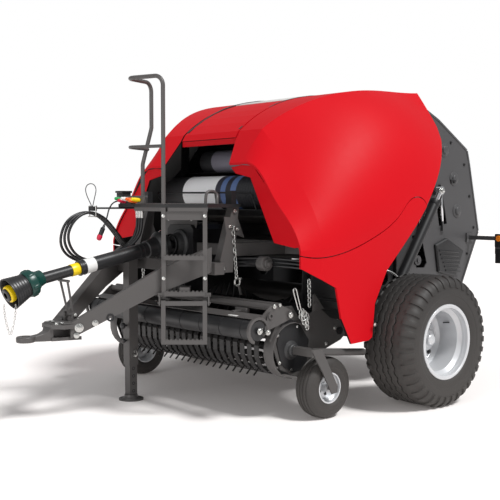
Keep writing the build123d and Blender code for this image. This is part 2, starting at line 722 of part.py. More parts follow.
def ladder():
    w = LADDER_W
    width = math.dist(LADDER_L, LADDER_R)
    stiles = [Pos(s, (745 + DECK_Z) / 2, 0) * Box(w, DECK_Z - 745, w) for s in (0, width)]
    rungs = [Pos(width / 2, z, 0) * Box(width, w, 40) for z in (765, 983)]
    plate = Pos(width / 2, 1236, 0) * Box(width, 50, 12)
    frame = stiles[0] + stiles[1] + rungs + plate
    lugs = []
    for s in (-w / 2 - 10, width + w / 2 + 10):
        lugs.append(Pos(s, STEP_HINGE_Z + 14, STEP_OUT / 2) * Box(8, 60, STEP_OUT + w))
        lugs.append(Pos(s, 760, 3) * Box(24, 24, 20))
    pins = [Pos(s, STEP_HINGE_Z, STEP_OUT) * Rot(0, 90, 0) * Cylinder(STEP_PIN_R, 44) for s in (-12, width + 12)]
    stay = Pos(width / 2, 790, -75) * Box(60, 24, 150)
    return ladder_plane() * (frame + lugs + pins + stay)


def ladder_step():
    w = LADDER_W
    width = math.dist(LADDER_L, LADDER_R)
    low = 465.0
    high = STEP_HINGE_Z + w / 2
    stiles = [Pos(s, (low + high) / 2, STEP_OUT) * Box(w, high - low, w) for s in (0, width)]
    bars = [Pos(width / 2, z, STEP_OUT) * Box(width, w, w) for z in (low + w / 2, STEP_HINGE_Z - 4)]
    holes = [Pos(s, STEP_HINGE_Z, STEP_OUT) * Rot(0, 90, 0) * Cylinder(STEP_PIN_R + RUNNING, 48)
             for s in (-12, width + 12)]
    return ladder_plane() * (stiles[0] + stiles[1] + bars - holes)


def handrail():
    r = 13.0
    z = 2075.0
    a = (LADDER_L[0], LADDER_L[1], z)
    b = (109.0, -1624.0, z)
    c = (10.0, -1373.0, z)
    foot = DECK_Z + DECK_T
    loop = bent([(a[0], a[1], foot), a, b, c, (10, -1373, 1790), (-44, -1405, 1560), (-44, -1405, foot)],
                [60, 60, 60, 80, 80], r)
    mid = 1655.0
    hoop = bent([(a[0], a[1], mid), (b[0], b[1], mid), (-20, -1380, mid)], [60], 10)
    return loop + hoop


def cord(points, dia):
    """Tube of a hanging cord through points in (x, y, z), with arcs as large as its runs allow."""
    vectors = [Vector(*p) for p in points]
    runs = [b - a for a, b in zip(vectors, vectors[1:])]
    radii = []
    for before, after in zip(runs, runs[1:]):
        turn = math.radians(before.get_angle(after))
        radii.append(0.45 * min(before.length, after.length) / math.tan(turn / 2))
    print("cord radii", [round(r) for r in radii], "length", round(sum(r.length for r in runs)))
    return bent(points, radii, dia / 2)


def hose(i):
    """Hydraulic hose i from the front beam over the clamp, round its loop and up to the coupling tray."""
    low = 14.0 * i
    start, end = HOSE_X[i], SOCKET_X[i]
    line = [(0, ARM_END[1] - 30.6, 958.6), (0, -1380, 1048), (0, -1462, 1148), (0, -1541, 1225), (0, -1654, 1262),
            (0, -1764 - low, 1205), (0, -1816 - low, 1095 - low), (0, -1764 - low, 985 - low / 2),
            (0, -1654, 935 - low / 2), (0.35, -1524, 958), (0.7, -1420, 1010), (1, -1350, 1090), (1, -1332, 1178),
            (1, -1332, DECK_Z - 22)]
    route = [(start + (end - start) * share, y, z) for share, y, z in line]
    return cord(route, HOSE_D)


def cable():
    line = [(-1462, 1326), (-1512, 1326), (-1554, 1280), (-1572, 1208), (-1600, 1150)]
    return cord([(-212, y, z) for y, z in line], 9.0)


def hose_stand():
    """Tray for the couplings on the deck and the bar under it that carries the hoses' clamp."""
    z = DECK_Z - 6.2
    bar = rod((-200, -1330, z), (-320, -1604, z), 6)
    clamp = span((-358, -1618, 1261), (-292, -1594, 1290))
    tray = span((-225, -1462, DECK_Z + DECK_T), (-95, -1395, DECK_Z + DECK_T + 38))
    sockets = span((-228, -1348, DECK_Z - 22), (-152, -1316, DECK_Z))
    block = span((-362, ARM_END[1] - 24, 932), (-288, ARM_END[1], 972))
    return Compound([(bar + clamp + sockets).solid(), tray, block])


# Net rolls

def net_roll():
    body = across(*NET, NET_R, -NET_HALF, NET_HALF)
    ends = across(*NET, SPINDLE_R, -NET_HALF - 28, NET_HALF + 28)
    return body + ends


def net_cradle():
    y, z = NET
    inner = WALL_X - WALL / 2
    cheek = side_plate([(y - 110, z - 60), (y - 60, z + 80), (-650, 1560), (-620, 1560), (-620, z - 170),
                        (y - 20, z - 170)], inner + 6, 12)
    hole = across(y, z, SPINDLE_R + RUNNING, NET_HALF, NET_HALF + 40)
    tray = side_plate(strip([(y - 130, z - 110), (y - 60, z - 150), (-640, z - 150)], 5), 0, 2 * inner)
    sy, sz = SPARE
    shelf = side_plate(strip([(sy - 70, sz - SPARE_R), (sy + 55, sz - SPARE_R)], 4), 0, 2 * inner)
    upright = span((inner - 40, ROOF_FRONT_Y - 16, 1502), (inner, ROOF_FRONT_Y + 28, ridge_z(ROOF_FRONT_Y) - ROOF_DROP))
    side = (cheek - hole) + upright
    return side + mirrored(side) + tray + shelf + roof_tube(ROOF_FRONT_Y)


def spare_roll():
    return across(SPARE[0], SPARE[1] + 0.3, SPARE_R, -400, WALL_X - WALL / 2 - 46)


# Pickup

def pickup_frame():
    """Side plates, cross tubes, wheel arms and the stripper bands between the tines."""
    y, z = REEL
    plate = side_plate([(-1117, 499), (-1083, 560), (-1020, 690), (-940, 690), (-870, 600), (-700, 660), (-606, 590),
                        (-493, 560), (-465, 470), (-507, 440), (-650, 395), (-757, 250), (-757, 210), (-810, 210), (-920, 262),
                        (-1037, 308)], PICKUP_X, PLATE)
    plate -= across(*PICKUP_PIN, PIN_R + RUNNING, PICKUP_X - 20, PICKUP_X + 20)
    plate -= across(y, z, 22 + RUNNING, PICKUP_X - 20, PICKUP_X + 20)
    inner = PICKUP_X - PLATE / 2
    tube = across(*BAND_TUBE, BAND_TUBE_R, -inner, inner)
    foot_bar = across(*BAND_BAR, BAND_BAR_R, -inner, inner)
    head_x = GAUGE_X + GAUGE_WIDTH / 2 + 16
    wheel_arm = rod((1020, -930, 426), (1020, -475, 378), 22)
    head = span((PICKUP_X + PLATE / 2, -965, 400), (head_x, -915, 445))
    leg = side_plate([(-975, 445), (-890, 445), (-752, 205), (-752, 165), (-800, 160), (-880, 300)], head_x, 10)
    leg_pin = across(GAUGE_Y, GAUGE_R, GAUGE_PIN_R, GAUGE_X - 30, head_x)
    guard_pin = across(*GUARD_PIN, 14, PICKUP_X + PLATE / 2, GUARD_X + 14)
    half = plate + wheel_arm + head + leg + leg_pin + guard_pin
    frame = half + mirrored(half) + tube + foot_bar
    return Compound([frame.solid()] + stripper_bands())


def stripper_bands():
    """Curved sheet fingers round the reel, one between each pair of tines."""
    y, z = REEL
    pitch = TINE_PITCH
    count = int(2 * (PICKUP_X - 60) / pitch)
    bands = []
    arc = [math.radians(a) for a in range(45, 271, 25)]
    line = [(y + BAND_R * math.cos(a), z + BAND_R * math.sin(a)) for a in arc]
    seat = BAND_TUBE[1] + BAND_TUBE_R + 0.2
    tail = [(BAND_TUBE[0] + 10, seat), (BAND_TUBE[0] - 10, seat)] + line + [(BAND_BAR[0], BAND_BAR[1] + BAND_BAR_R + 3.2)]
    for i in range(count):
        x = (i - (count - 1) / 2) * pitch
        bands.append(side_plate(strip(tail, 3.0), x, 42).solid())
    return bands


def reel():
    """Tined reel: shaft, end discs, four bars and rows of spring tines."""
    y, z = REEL
    half = PICKUP_X - PLATE / 2 - 6
    body = across(y, z, 26, -half, half) + across(y, z, 22, -PICKUP_X - 4, PICKUP_X + 4)
    for x in (-half + 40, 0, half - 40):
        body += across(y, z, 118, x - 4, x + 4)
    count = int(2 * (PICKUP_X - 60) / TINE_PITCH) - 1
    for turn in (45, 135, 225, 315):
        a = math.radians(turn)
        by, bz = y + 110 * math.cos(a), z + 110 * math.sin(a)
        body += across(by, bz, 14, -half + 20, half - 20)
        for i in range(count):
            x = (i - (count - 1) / 2) * TINE_PITCH
            body += rod((x, by, bz), (x, y + REEL_R * math.cos(a), z + REEL_R * math.sin(a)), TINE / 2)
    return body


def windguard():
    """Arms on the pickup's plates with a cross tube and the crop roller's end rings."""
    py, pz = GUARD_PIN
    cy, cz = CROP_ROLLER
    arm_plate = side_plate([(py + 24, pz - 24), (py + 24, pz + 24), (py - 60, pz + 60), (-1130, 705), (cy - 30, cz + 20),
                            (cy - 10, cz - 34), (cy + 40, cz - 20)], GUARD_X, 10)
    arm_plate -= across(py, pz, 14 + RUNNING, GUARD_X - 20, GUARD_X + 20)
    arm_plate -= across(cy, cz, 16 + RUNNING, GUARD_X - 20, GUARD_X + 20)
    face = GUARD_X + 5
    collar = [(face, RING_IN), (face + 18, RING_IN), (face + 18, RING_OUT), (face, RING_OUT)]
    opening = span((face, cy - 10, cz - 100), (face + 30, cy + 100, cz + 10)).rotate(Axis((0, cy, cz), (1, 0, 0)), -20)
    half = arm_plate + (turned(collar, cy, cz) - opening)
    beam = across(-1100, 690, 20, -GUARD_X, GUARD_X)
    rear_tube = across(-1062, 702, 16, -GUARD_X, GUARD_X)
    housing = [(-1186, 650), (-1222, 638), (-1255, 631)]
    sheet = side_plate(strip(housing, 4), 0, 2 * GUARD_X)
    return half + mirrored(half) + beam + rear_tube + sheet


def crop_roller():
    y, z = CROP_ROLLER
    half = GUARD_X - 11
    body = across(y, z, CROP_R, -half + 8, half - 8) + across(y, z, 16, -GUARD_X - 9, GUARD_X + 9)
    disc = across(y, z, RING_IN - 8, GUARD_X + 8, GUARD_X + 15) + across(y, z, 13, GUARD_X + 8, GUARD_X + 27)
    return body + disc + mirrored(disc)


def gauge_tyre():
    half = GAUGE_WIDTH / 2
    outline = [(-half, 140), (-half + 10, 170), (-half + 30, 185), (-half + 52, GAUGE_R), (half - 52, GAUGE_R),
               (half - 30, 185), (half - 10, 170), (half, 140), (half - 14, GAUGE_RIM_R), (-half + 14, GAUGE_RIM_R)]
    return turned([(GAUGE_X + x, r) for x, r in outline], GAUGE_Y, GAUGE_R)


def gauge_rim():
    edge = GAUGE_WIDTH / 2 - 14
    r = GAUGE_RIM_R - 0.3
    bore = GAUGE_PIN_R + RUNNING
    outline = [(-edge, r), (edge, r), (edge, r - 8), (edge - 20, r - 10), (edge - 30, r - 22), (10, r - 22), (10, 30),
               (edge - 10, 30), (edge - 10, bore), (-36, bore), (-36, 30), (0, 30), (0, r - 30), (-edge + 30, r - 30),
               (-edge + 20, r - 14), (-edge, r - 8)]
    return turned([(GAUGE_X + x, q) for x, q in outline], GAUGE_Y, GAUGE_R)


panel = skin()
nodes = {
    "axle": axle(),
    "chamber_walls": chamber_walls(panel),
    "front_rollers": roller_set([a for a in range(100, 261, 20) if a != 220], WALL_X - WALL / 2),
    "feed_pan": feed_pan(),
    "feed_rotor": feed_rotor(),
    "hood": hood(),
    "ram_barrels": ram_barrels(),
    "ram_rods": ram_rods(),
    "door_left": door(panel),
    "fender_left": fender(panel),
    "drawbar": drawbar(),
    "hitch": hitch(),
    "front_frame": front_frame(),
    "gearbox": gearbox(),
    "pto_cross": pto_cross(),
    "pto_outer": pto_outer(),
    "pto_inner": pto_inner(),
    "pto_rest": pto_rest(),
    "jack_sleeve": jack_sleeve(),
    "jack_leg": jack_leg(),
    "deck": deck(),
    "ladder": ladder(),
    "ladder_step": ladder_step(),
    "handrail": handrail(),
    "hose_stand": hose_stand(),
    "hose_1": hose(0),
    "hose_2": hose(1),
    "hose_3": hose(2),
    "cable": cable(),
    "net_roll": net_roll(),
    "net_cradle": net_cradle(),
    "spare_roll": spare_roll(),
    "tailgate": tailgate(),
    "gate_covers": gate_covers(),
    "rear_rollers": roller_set(range(-80, 61, 20), GATE_X - WALL / 2),
    "lamps": lamps(),
    "pickup_frame": pickup_frame(),
    "reel": reel(),
    "windguard": windguard(),
    "crop_roller": crop_roller(),
    "tyre_left": tyre(),
    "rim_left": rim(),
    "gauge_tyre_left": gauge_tyre(),
    "gauge_rim_left": gauge_rim(),
}
for name in [n for n in nodes if n.endswith("_left")]:
    nodes[name.replace("_left", "_right")] = mirrored(nodes[name])

os.makedirs("parts", exist_ok=True)
for name, shape in nodes.items():
    export_step(ROW * shape, f"parts/{name}.step")
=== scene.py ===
import bmesh
import bpy
import math
from mathutils import Matrix, Vector


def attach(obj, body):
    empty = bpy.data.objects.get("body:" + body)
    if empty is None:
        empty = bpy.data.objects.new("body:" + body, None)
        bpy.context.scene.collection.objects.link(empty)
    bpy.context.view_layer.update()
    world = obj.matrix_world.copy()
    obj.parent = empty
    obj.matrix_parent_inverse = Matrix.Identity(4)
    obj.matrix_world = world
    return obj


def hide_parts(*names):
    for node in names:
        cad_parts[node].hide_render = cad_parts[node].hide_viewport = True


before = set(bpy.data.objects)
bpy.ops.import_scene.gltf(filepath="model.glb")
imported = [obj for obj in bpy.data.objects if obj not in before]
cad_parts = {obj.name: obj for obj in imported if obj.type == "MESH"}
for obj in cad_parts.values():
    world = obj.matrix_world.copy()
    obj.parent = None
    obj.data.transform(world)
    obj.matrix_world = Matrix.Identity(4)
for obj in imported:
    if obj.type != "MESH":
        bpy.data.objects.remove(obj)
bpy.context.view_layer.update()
bpy.ops.object.select_all(action="DESELECT")

# The axle lies at this Y
AXLE_Y = 0.5683


def at(x, y, z):
    """A place given from the axle backwards, as the machine was measured."""
    return Vector((x, y + AXLE_Y, z))


# Places that several pieces share, in metres
MAIN_HUB = at(1.135, 0, 0.425)
GAUGE_HUB = at(0.967, -0.783, 0.19)
REEL_Y, REEL_Z = -0.95, 0.42
REEL_HUB = at(0, REEL_Y, REEL_Z)
CROP_ROLLER = at(0, -1.24, 0.565)
GEARBOX_FACE = at(0, -1.14, 1.041)
CHAMBER_Y, CHAMBER_Z = 0.28, 1.25
ROLLER_RING = 0.705
WALL_X = 0.63
GATE_X = 0.654
SHAFT_SLOPE = math.radians(11.2)


# Camera, lamps and ground

def photo_camera():
    """Three-quarter view from the left front."""
    look = Vector((-0.74945, 0.65994, -0.05302))
    turn = look.to_track_quat("-Z", "Y").to_euler()
    bpy.ops.object.camera_add(location=at(4.9143, -4.8529, 1.328), rotation=turn)
    camera = bpy.context.object
    camera.data.lens = 67.04
    camera.data.sensor_width = 36
    camera.data.clip_end = 100
    bpy.context.scene.camera = camera
    bpy.context.scene.view_settings.view_transform = "Standard"


def sun(name, place, strength, spread):
    """Light from the direction of place; spread in degrees sets how soft its shadows are."""
    turn = (-Vector(place)).to_track_quat("-Z", "Y").to_euler()
    bpy.ops.object.light_add(type="SUN", location=place, rotation=turn)
    light = bpy.context.object
    light.name = name
    light.data.energy = strength
    light.data.angle = math.radians(spread)


def plug(tree, node, inputs):
    """Each input takes a socket to be linked to or a value to hold."""
    for key, given in inputs.items():
        if isinstance(given, bpy.types.NodeSocket):
            tree.links.new(given, node.inputs[key])
        else:
            node.inputs[key].default_value = given
    return node


def add(tree, kind, inputs, **settings):
    """A new shader node with its settings and inputs."""
    node = tree.nodes.new("ShaderNode" + kind)
    for name, setting in settings.items():
        setattr(node, name, setting)
    return plug(tree, node, inputs)


def mixed(tree, share, under, over):
    """A colour between two others."""
    return add(tree, "Mix", {0: share, 6: under, 7: over}, data_type="RGBA").outputs[2]


def studio():
    """White behind the machine, soft light from all sides and two suns."""
    world = bpy.data.worlds.new("studio")
    bpy.context.scene.world = world
    world.use_nodes = True
    tree = world.node_tree
    tree.nodes.clear()
    path = add(tree, "LightPath", {}).outputs
    seen = add(tree, "Math", {0: path["Is Camera Ray"], 1: path["Is Transmission Ray"]}, operation="MAXIMUM")
    soft = add(tree, "Background", {"Color": (0.97, 0.98, 1, 1), "Strength": 0.38})
    white = add(tree, "Background", {"Color": (1, 1, 1, 1)})
    blend = add(tree, "MixShader", {0: seen.outputs[0], 1: soft.outputs[0], 2: white.outputs[0]})
    add(tree, "OutputWorld", {"Surface": blend.outputs[0]})
    sun("key", (4.0, 0.9, 5.6), 3.2, 14)
    sun("front", (1.5, -6.0, 1.8), 0.9, 40)


def ground():
    """White floor that takes the shadows."""
    bpy.ops.mesh.primitive_plane_add(size=60, location=(0, 0, 0))
    floor = bpy.context.object
    floor.name = "ground"
    paper = bpy.data.materials.new("white_ground")
    paper.use_nodes = True
    tree = paper.node_tree
    tree.nodes.clear()
    catch = add(tree, "BsdfDiffuse", {"Color": (0.88, 0.85, 0.835, 1)})
    glow = add(tree, "Emission", {"Color": (1.0, 0.9, 0.86, 1), "Strength": 0.06})
    both = add(tree, "AddShader", {0: catch.outputs[0], 1: glow.outputs[0]})
    add(tree, "OutputMaterial", {"Surface": both.outputs[0]})
    floor.data.materials.append(paper)


# Finishes

def inner_painted_shade(tree, place, colour):
    """Painted shade: near black on the faces of a cover that look down or towards the machine's middle."""
    spot = add(tree, "SeparateXYZ", {0: place["Object"]}).outputs
    facing = add(tree, "SeparateXYZ", {0: place["Normal"]}).outputs
    flank = add(tree, "Math", {0: spot["X"]}, operation="SIGN").outputs[0]
    lift = add(tree, "Math", {0: facing["Z"], 1: 0.6}, operation="MULTIPLY").outputs[0]
    outward = add(tree, "Math", {0: facing["X"], 1: flank, 2: lift}, operation="MULTIPLY_ADD").outputs[0]
    inner = add(tree, "Math", {0: outward, 1: -0.25}, operation="LESS_THAN").outputs[0]
    # The near black mixed in here is painted shade, not the cover's own colour
    return mixed(tree, inner, colour, (0.01, 0.009, 0.009, 1))


def finish(
        name, tint, roughness, metallic=0.0, coat=0.0, vary=0.08, grain=60.0, relief=0.0, rough_vary=0.12,
        dust=0.0, gloss=0.5, painted_inner_shade=False,
):
    """Paint, steel, rubber or plastic with slight changes of colour, gloss and relief over the surface, and
    optional painted shade on faces that look down or inwards.
    """
    mat = bpy.data.materials.new(name)
    mat.use_nodes = True
    tree = mat.node_tree
    place = add(tree, "TexCoord", {}).outputs
    spot = place["Object"]
    cloud = add(tree, "TexNoise", {"Vector": spot, "Scale": 3.5, "Detail": 5}).outputs["Fac"]
    fine = add(tree, "TexNoise", {"Vector": spot, "Scale": grain, "Detail": 3}).outputs["Fac"]
    darker = (*[c * (1 - vary) for c in tint], 1)
    lighter = (*[min(1, c * (1 + vary)) for c in tint], 1)
    colour = mixed(tree, cloud, darker, lighter)
    # Painted shade on the faces that look down or inwards
    if painted_inner_shade:
        colour = inner_painted_shade(tree, place, colour)
    if dust:
        height = add(tree, "SeparateXYZ", {0: spot}).outputs["Z"]
        low = add(tree, "MapRange", {"Value": height, "From Min": 0.9, "From Max": 0.0, "To Max": dust})
        speck = add(tree, "Math", {0: low.outputs[0], 1: fine}, operation="MULTIPLY")
        colour = mixed(tree, speck.outputs[0], colour, (0.33, 0.29, 0.25, 1))
    least = max(0.02, roughness - rough_vary / 2)
    most = min(1, roughness + rough_vary / 2)
    rough = add(tree, "MapRange", {"Value": fine, "To Min": least, "To Max": most})
    shader = plug(tree, tree.nodes["Principled BSDF"], {
        "Base Color": colour, "Roughness": rough.outputs[0], "Metallic": metallic,
        "Specular IOR Level": gloss, "Coat Weight": coat, "Coat Roughness": 0.08,
    })
    if relief:
        bump = add(tree, "Bump", {"Height": fine, "Strength": relief, "Distance": 0.002})
        plug(tree, shader, {"Normal": bump.outputs[0]})
    return mat


def banded(name, bands, roughness, relief=0.0, grain=60.0):
    """Colours in bands across the machine: each band is (start in metres, colour)."""
    mat = finish(name, (1, 1, 1), roughness, relief=relief, grain=grain)
    tree = mat.node_tree
    place = add(tree, "TexCoord", {})
    across = add(tree, "SeparateXYZ", {0: place.outputs["Object"]}).outputs["X"]
    first, last = bands[0][0], bands[-1][0] + 0.01
    share = add(tree, "MapRange", {"Value": across, "From Min": first, "From Max": last})
    ramp = add(tree, "ValToRGB", {0: share.outputs[0]})
    ramp.color_ramp.interpolation = "CONSTANT"
    points = ramp.color_ramp.elements
    while len(points) < len(bands):
        points.new(1.0)
    for point, (start, colour) in zip(points, bands):
        point.position = (start - first) / (last - first)
        point.color = (*colour, 1)
    plug(tree, tree.nodes["Principled BSDF"], {"Base Color": ramp.outputs[0]})
    return mat


# The red covers carry painted shade on their downward and inward faces
RED = finish(
    "red_panel", (0.52, 0.0025, 0.008), 0.5, vary=0.03, grain=25, rough_vary=0.05, gloss=0.12,
    painted_inner_shade=True,
)
GREY = finish("grey_paint", (0.076, 0.071, 0.069), 0.42, vary=0.06, grain=90, relief=0.05)
GATE = finish("gate_paint", (0.06, 0.059, 0.061), 0.45, vary=0.05, grain=90, relief=0.04)
BLACK = finish("black_paint", (0.008, 0.008, 0.009), 0.45, grain=80, relief=0.05)
PLASTIC = finish("black_plastic", (0.016, 0.016, 0.017), 0.36, grain=150, relief=0.1)
STEEL = finish("worked_steel", (0.3, 0.3, 0.31), 0.34, metallic=0.85, grain=120, relief=0.06)
DARK_STEEL = finish("tine_steel", (0.03, 0.028, 0.027), 0.4, metallic=0.3, grain=120, relief=0.05)
ZINC = finish("zinc", (0.62, 0.62, 0.6), 0.28, metallic=1.0, grain=120, relief=0.05)
CHROME = finish("chrome_rod", (0.75, 0.75, 0.76), 0.12, metallic=1.0, vary=0.02)
RUBBER = finish("tyre_rubber", (0.022, 0.02, 0.019), 0.62, vary=0.14, grain=140, relief=0.16, dust=0.12)
SILVER = finish("rim_silver", (0.6, 0.61, 0.625), 0.36, metallic=0.35, coat=0.2, vary=0.03, grain=60)
LAMP_RED = finish("lamp_red", (0.55, 0.012, 0.01), 0.16, coat=0.6, grain=30)
AMBER = finish("lamp_amber", (0.85, 0.22, 0.01), 0.16, coat=0.6, grain=30)
HOSE = finish("hose_rubber", (0.014, 0.014, 0.015), 0.38, grain=200, relief=0.12)
BOLT = finish("dark_bolt", (0.035, 0.035, 0.036), 0.35, metallic=0.6, grain=150)
GREEN = finish("dark_green_plastic", (0.003, 0.042, 0.033), 0.34, grain=80)
YELLOW = finish("yellow_plastic", (0.86, 0.6, 0.004), 0.34, grain=80)
LABEL = finish("white_label", (0.72, 0.72, 0.7), 0.35, vary=0.02)
# Pale paint for the spare roll's end, also used as the painted highlight on the hood's top
PALE_AND_HIGHLIGHT = finish("pale_and_highlight", (0.6, 0.58, 0.56), 0.4, vary=0.03)
CAST = finish("cast_black", (0.03, 0.03, 0.031), 0.5, grain=90, relief=0.15)
GREEN_CAP = finish("green_cap", (0.02, 0.36, 0.09), 0.34)
ORANGE = finish("orange_cap", (0.75, 0.12, 0.01), 0.34)
RED_CAP = finish("red_cap", (0.62, 0.012, 0.05), 0.32, grain=80)

BANDS = banded("pickup_paint", [
    (-0.9, (0.07, 0.066, 0.064)), (-0.8, (0.016, 0.015, 0.015)), (0.8, (0.07, 0.066, 0.064)),
], 0.42, relief=0.05)
SPARE = banded("spare_roll", [(-0.66, (0.018, 0.018, 0.02)), (-0.27, (0.2, 0.19, 0.23))], 0.5, grain=180)
NET = banded("net_roll", [
    (-0.66, (0.028, 0.028, 0.03)), (-0.4, (0.92, 0.92, 0.93)), (-0.032, (0.03, 0.03, 0.045)),
    (0.022, (0.1, 0.16, 0.34)), (0.075, (0.02, 0.02, 0.03)), (0.127, (0.1, 0.16, 0.34)),
    (0.185, (0.02, 0.02, 0.025)), (0.66, (0.02, 0.02, 0.025)),
], 0.5, relief=0.25, grain=180)


# Modelling helpers: primitives shaped with edit-mode operators, and smooth curves

def pick(obj, test, kind="verts"):
    """Select, in edit mode, the vertices or faces whose middle passes the test."""
    bpy.ops.mesh.select_all(action="DESELECT")
    bm = bmesh.from_edit_mesh(obj.data)
    for item in getattr(bm, kind):
        if test(item.co if kind == "verts" else item.calc_center_median()):
            item.select_set(True)
    bm.select_flush_mode()
    bmesh.update_edit_mesh(obj.data)


def mode(kind):
    """Work on vertices or on faces."""
    bpy.ops.mesh.select_mode(type=kind)


def take_all(kind="VERT"):
    """Select the whole of the mesh that is edited."""
    mode(kind)
    bpy.ops.mesh.select_all(action="SELECT")


def alone(obj):
    """Make obj the only selected object."""
    bpy.ops.object.select_all(action="DESELECT")
    obj.select_set(True)
    bpy.context.view_layer.objects.active = obj


def chain(points, close=False):
    """A line of vertices, extruded one from another; leaves the object in edit mode."""
    points = [Vector(p) for p in points]
    bpy.ops.object.select_all(action="DESELECT")
    bpy.ops.mesh.primitive_plane_add(size=0.001, location=points[0])
    obj = bpy.context.object
    bpy.ops.object.transform_apply()
    bpy.ops.object.mode_set(mode="EDIT")
    take_all()
    bpy.ops.mesh.merge(type="CENTER")
    for a, b in zip(points, points[1:]):
        bpy.ops.mesh.extrude_region_move(TRANSFORM_OT_translate={"value": b - a})
    if close:
        first, last = points[0], points[-1]
        pick(obj, lambda co: (co - first).length < 1e-5 or (co - last).length < 1e-5)
        bpy.ops.mesh.edge_face_add()
    return obj


def soften(obj, width, segments=2):
    """Rounded edges and smooth shading."""
    if width:
        bevel = obj.modifiers.new("edge", "BEVEL")
        bevel.width = width
        bevel.segments = segments
        bevel.limit_method = "ANGLE"
        bevel.angle_limit = math.radians(30)
        bpy.ops.object.modifier_apply(modifier="edge")
    bpy.ops.object.shade_smooth_by_angle(angle=math.radians(35))


def settle(obj, width=0.0, segments=2):
    """Leave edit mode with clean normals and softened edges."""
    take_all()
    bpy.ops.mesh.remove_doubles(threshold=1e-5)
    bpy.ops.mesh.normals_make_consistent(inside=False)
    bpy.ops.object.mode_set(mode="OBJECT")
    soften(obj, width, segments)
    return obj


def prism(points, way):
    """A closed outline drawn out along way; leaves the object in edit mode."""
    obj = chain(points, close=True)
    take_all()
    bpy.ops.mesh.edge_face_add()
    take_all("FACE")
    bpy.ops.mesh.extrude_region_move(TRANSFORM_OT_translate={"value": Vector(way)})
    return obj


def plate(points, way, edge=0.0015):
    """Plate from a closed outline, as thick as way is long."""
    return settle(prism(points, way), edge)


def side(points, x, t, edge=0.0015):
    """Plate across X from x to x + t, with its outline in (y, z) from the axle."""
    return plate([at(x, y, z) for y, z in points], (t, 0, 0), edge)


def lathe(profile, centre, axis=(1, 0, 0), steps=48, edge=0.0):
    """Turned piece from a profile of (distance along the axis, radius)."""
    axis = Vector(axis).normalized()
    out = axis.orthogonal().normalized()
    centre = Vector(centre)
    obj = chain([centre + axis * u + out * r for u, r in profile])
    take_all()
    bpy.ops.mesh.spin(steps=steps, angle=math.tau, center=centre, axis=axis)
    return settle(obj, edge)


def band(start, end, low, high):
    """Profile of a ring from start to end along its axis, between two radii."""
    return [(start, low), (start, high), (end, high), (end, low)]


def block(low, high, edge=0.003):
    """Box between two corners."""
    low, high = Vector(low), Vector(high)
    bpy.ops.object.select_all(action="DESELECT")
    bpy.ops.mesh.primitive_cube_add(size=1, location=(low + high) / 2, scale=high - low)
    obj = bpy.context.object
    bpy.ops.object.transform_apply()
    soften(obj, edge)
    return obj


def bar(a, b, r, sides=24, edge=0.0015):
    """Round bar between two places."""
    a, b = Vector(a), Vector(b)
    way = b - a
    turn = way.to_track_quat("Z", "Y").to_euler()
    bpy.ops.object.select_all(action="DESELECT")
    bpy.ops.mesh.primitive_cylinder_add(
        vertices=sides, radius=r, depth=way.length, location=(a + b) / 2, rotation=turn,
    )
    obj = bpy.context.object
    bpy.ops.object.transform_apply()
    soften(obj, edge)
    return obj


def bolt(place, r, way=(1, 0, 0), washer=True):
    """Hexagon head on its washer."""
    place, way = Vector(place), Vector(way).normalized()
    parts = [bar(place, place + way * r * 0.95, r, 6, r * 0.14)]
    if washer:
        parts.append(bar(place, place + way * r * 0.28, r * 1.35, 20, r * 0.08))
    return joined(parts)


def round_curve(name, points, r, sides, fine, closed=False):
    """Smooth curve through the points, as thick as 2 r."""
    data = bpy.data.curves.new(name, "CURVE")
    data.dimensions = "3D"
    data.bevel_depth = r
    data.bevel_resolution = sides
    data.resolution_u = fine
    data.use_fill_caps = True
    line = data.splines.new("NURBS")
    line.points.add(len(points) - 1)
    for point, co in zip(line.points, points):
        point.co = (*co, 1)
    line.order_u = 3
    line.use_endpoint_u = not closed
    line.use_cyclic_u = closed
    obj = bpy.data.objects.new(name, data)
    bpy.context.scene.collection.objects.link(obj)
    return obj


def wire(points, r, closed=False, sides=3):
    """Bent wire or tube along a smooth line through the points."""
    alone(round_curve("wire", points, r, sides, 6, closed))
    bpy.ops.object.convert(target="MESH")
    bpy.ops.object.shade_smooth()
    return bpy.context.object


def joined(parts):
    """One object from several."""
    bpy.ops.object.select_all(action="DESELECT")
    for part in parts:
        part.select_set(True)
    bpy.context.view_layer.objects.active = parts[0]
    if len(parts) > 1:
        bpy.ops.object.join()
    return parts[0]


def copied(obj, move=(0, 0, 0), turn=0.0, axis="X", about=(0, 0, 0)):
    """Another piece like obj, with its own mesh, moved and turned about a centre."""
    alone(obj)
    bpy.ops.object.duplicate(linked=False)
    twin = bpy.context.object
    spot = Matrix.Translation(about) @ Matrix.Rotation(turn, 4, axis) @ Matrix.Translation(-Vector(about))
    twin.matrix_world = Matrix.Translation(move) @ spot
    bpy.ops.object.transform_apply()
    return twin


def opposite(obj):
    """The same piece on the machine's other side."""
    twin = copied(obj)
    bpy.ops.object.mode_set(mode="EDIT")
    take_all()
    bpy.ops.transform.mirror(
        orient_type="GLOBAL", constraint_axis=(True, False, False), center_override=(0, 0, 0),
    )
    bpy.ops.mesh.normals_make_consistent(inside=False)
    bpy.ops.object.mode_set(mode="OBJECT")
    return twin


def made(parts, name, coat, body="chassis", instead_of=()):
    """Name a finished piece, give it its material and the body that it moves with."""
    obj = joined(parts if isinstance(parts, list) else [parts])
    obj.name = name
    obj.data.name = name
    obj.data.materials.clear()
    obj.data.materials.append(coat)
    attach(obj, body)
    if instead_of:
        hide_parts(*instead_of)
    return obj


def pair(parts, name, coat, body="chassis", body_right=None, replaced=()):
    """The left piece and its mirror image."""
    left = made(parts, name + "_left", coat, body, [node + "_left" for node in replaced])
    made(opposite(left), name + "_right", coat, body_right or body, [node + "_right" for node in replaced])


# Cords

def hang(node, points, r, coat):
    """A cord in the place of its node, on the chassis."""
    obj = round_curve(node, points, r, 4, 8)
    obj.name = node + "_run"
    obj.data.materials.append(coat)
    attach(obj, "chassis")
    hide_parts(node)


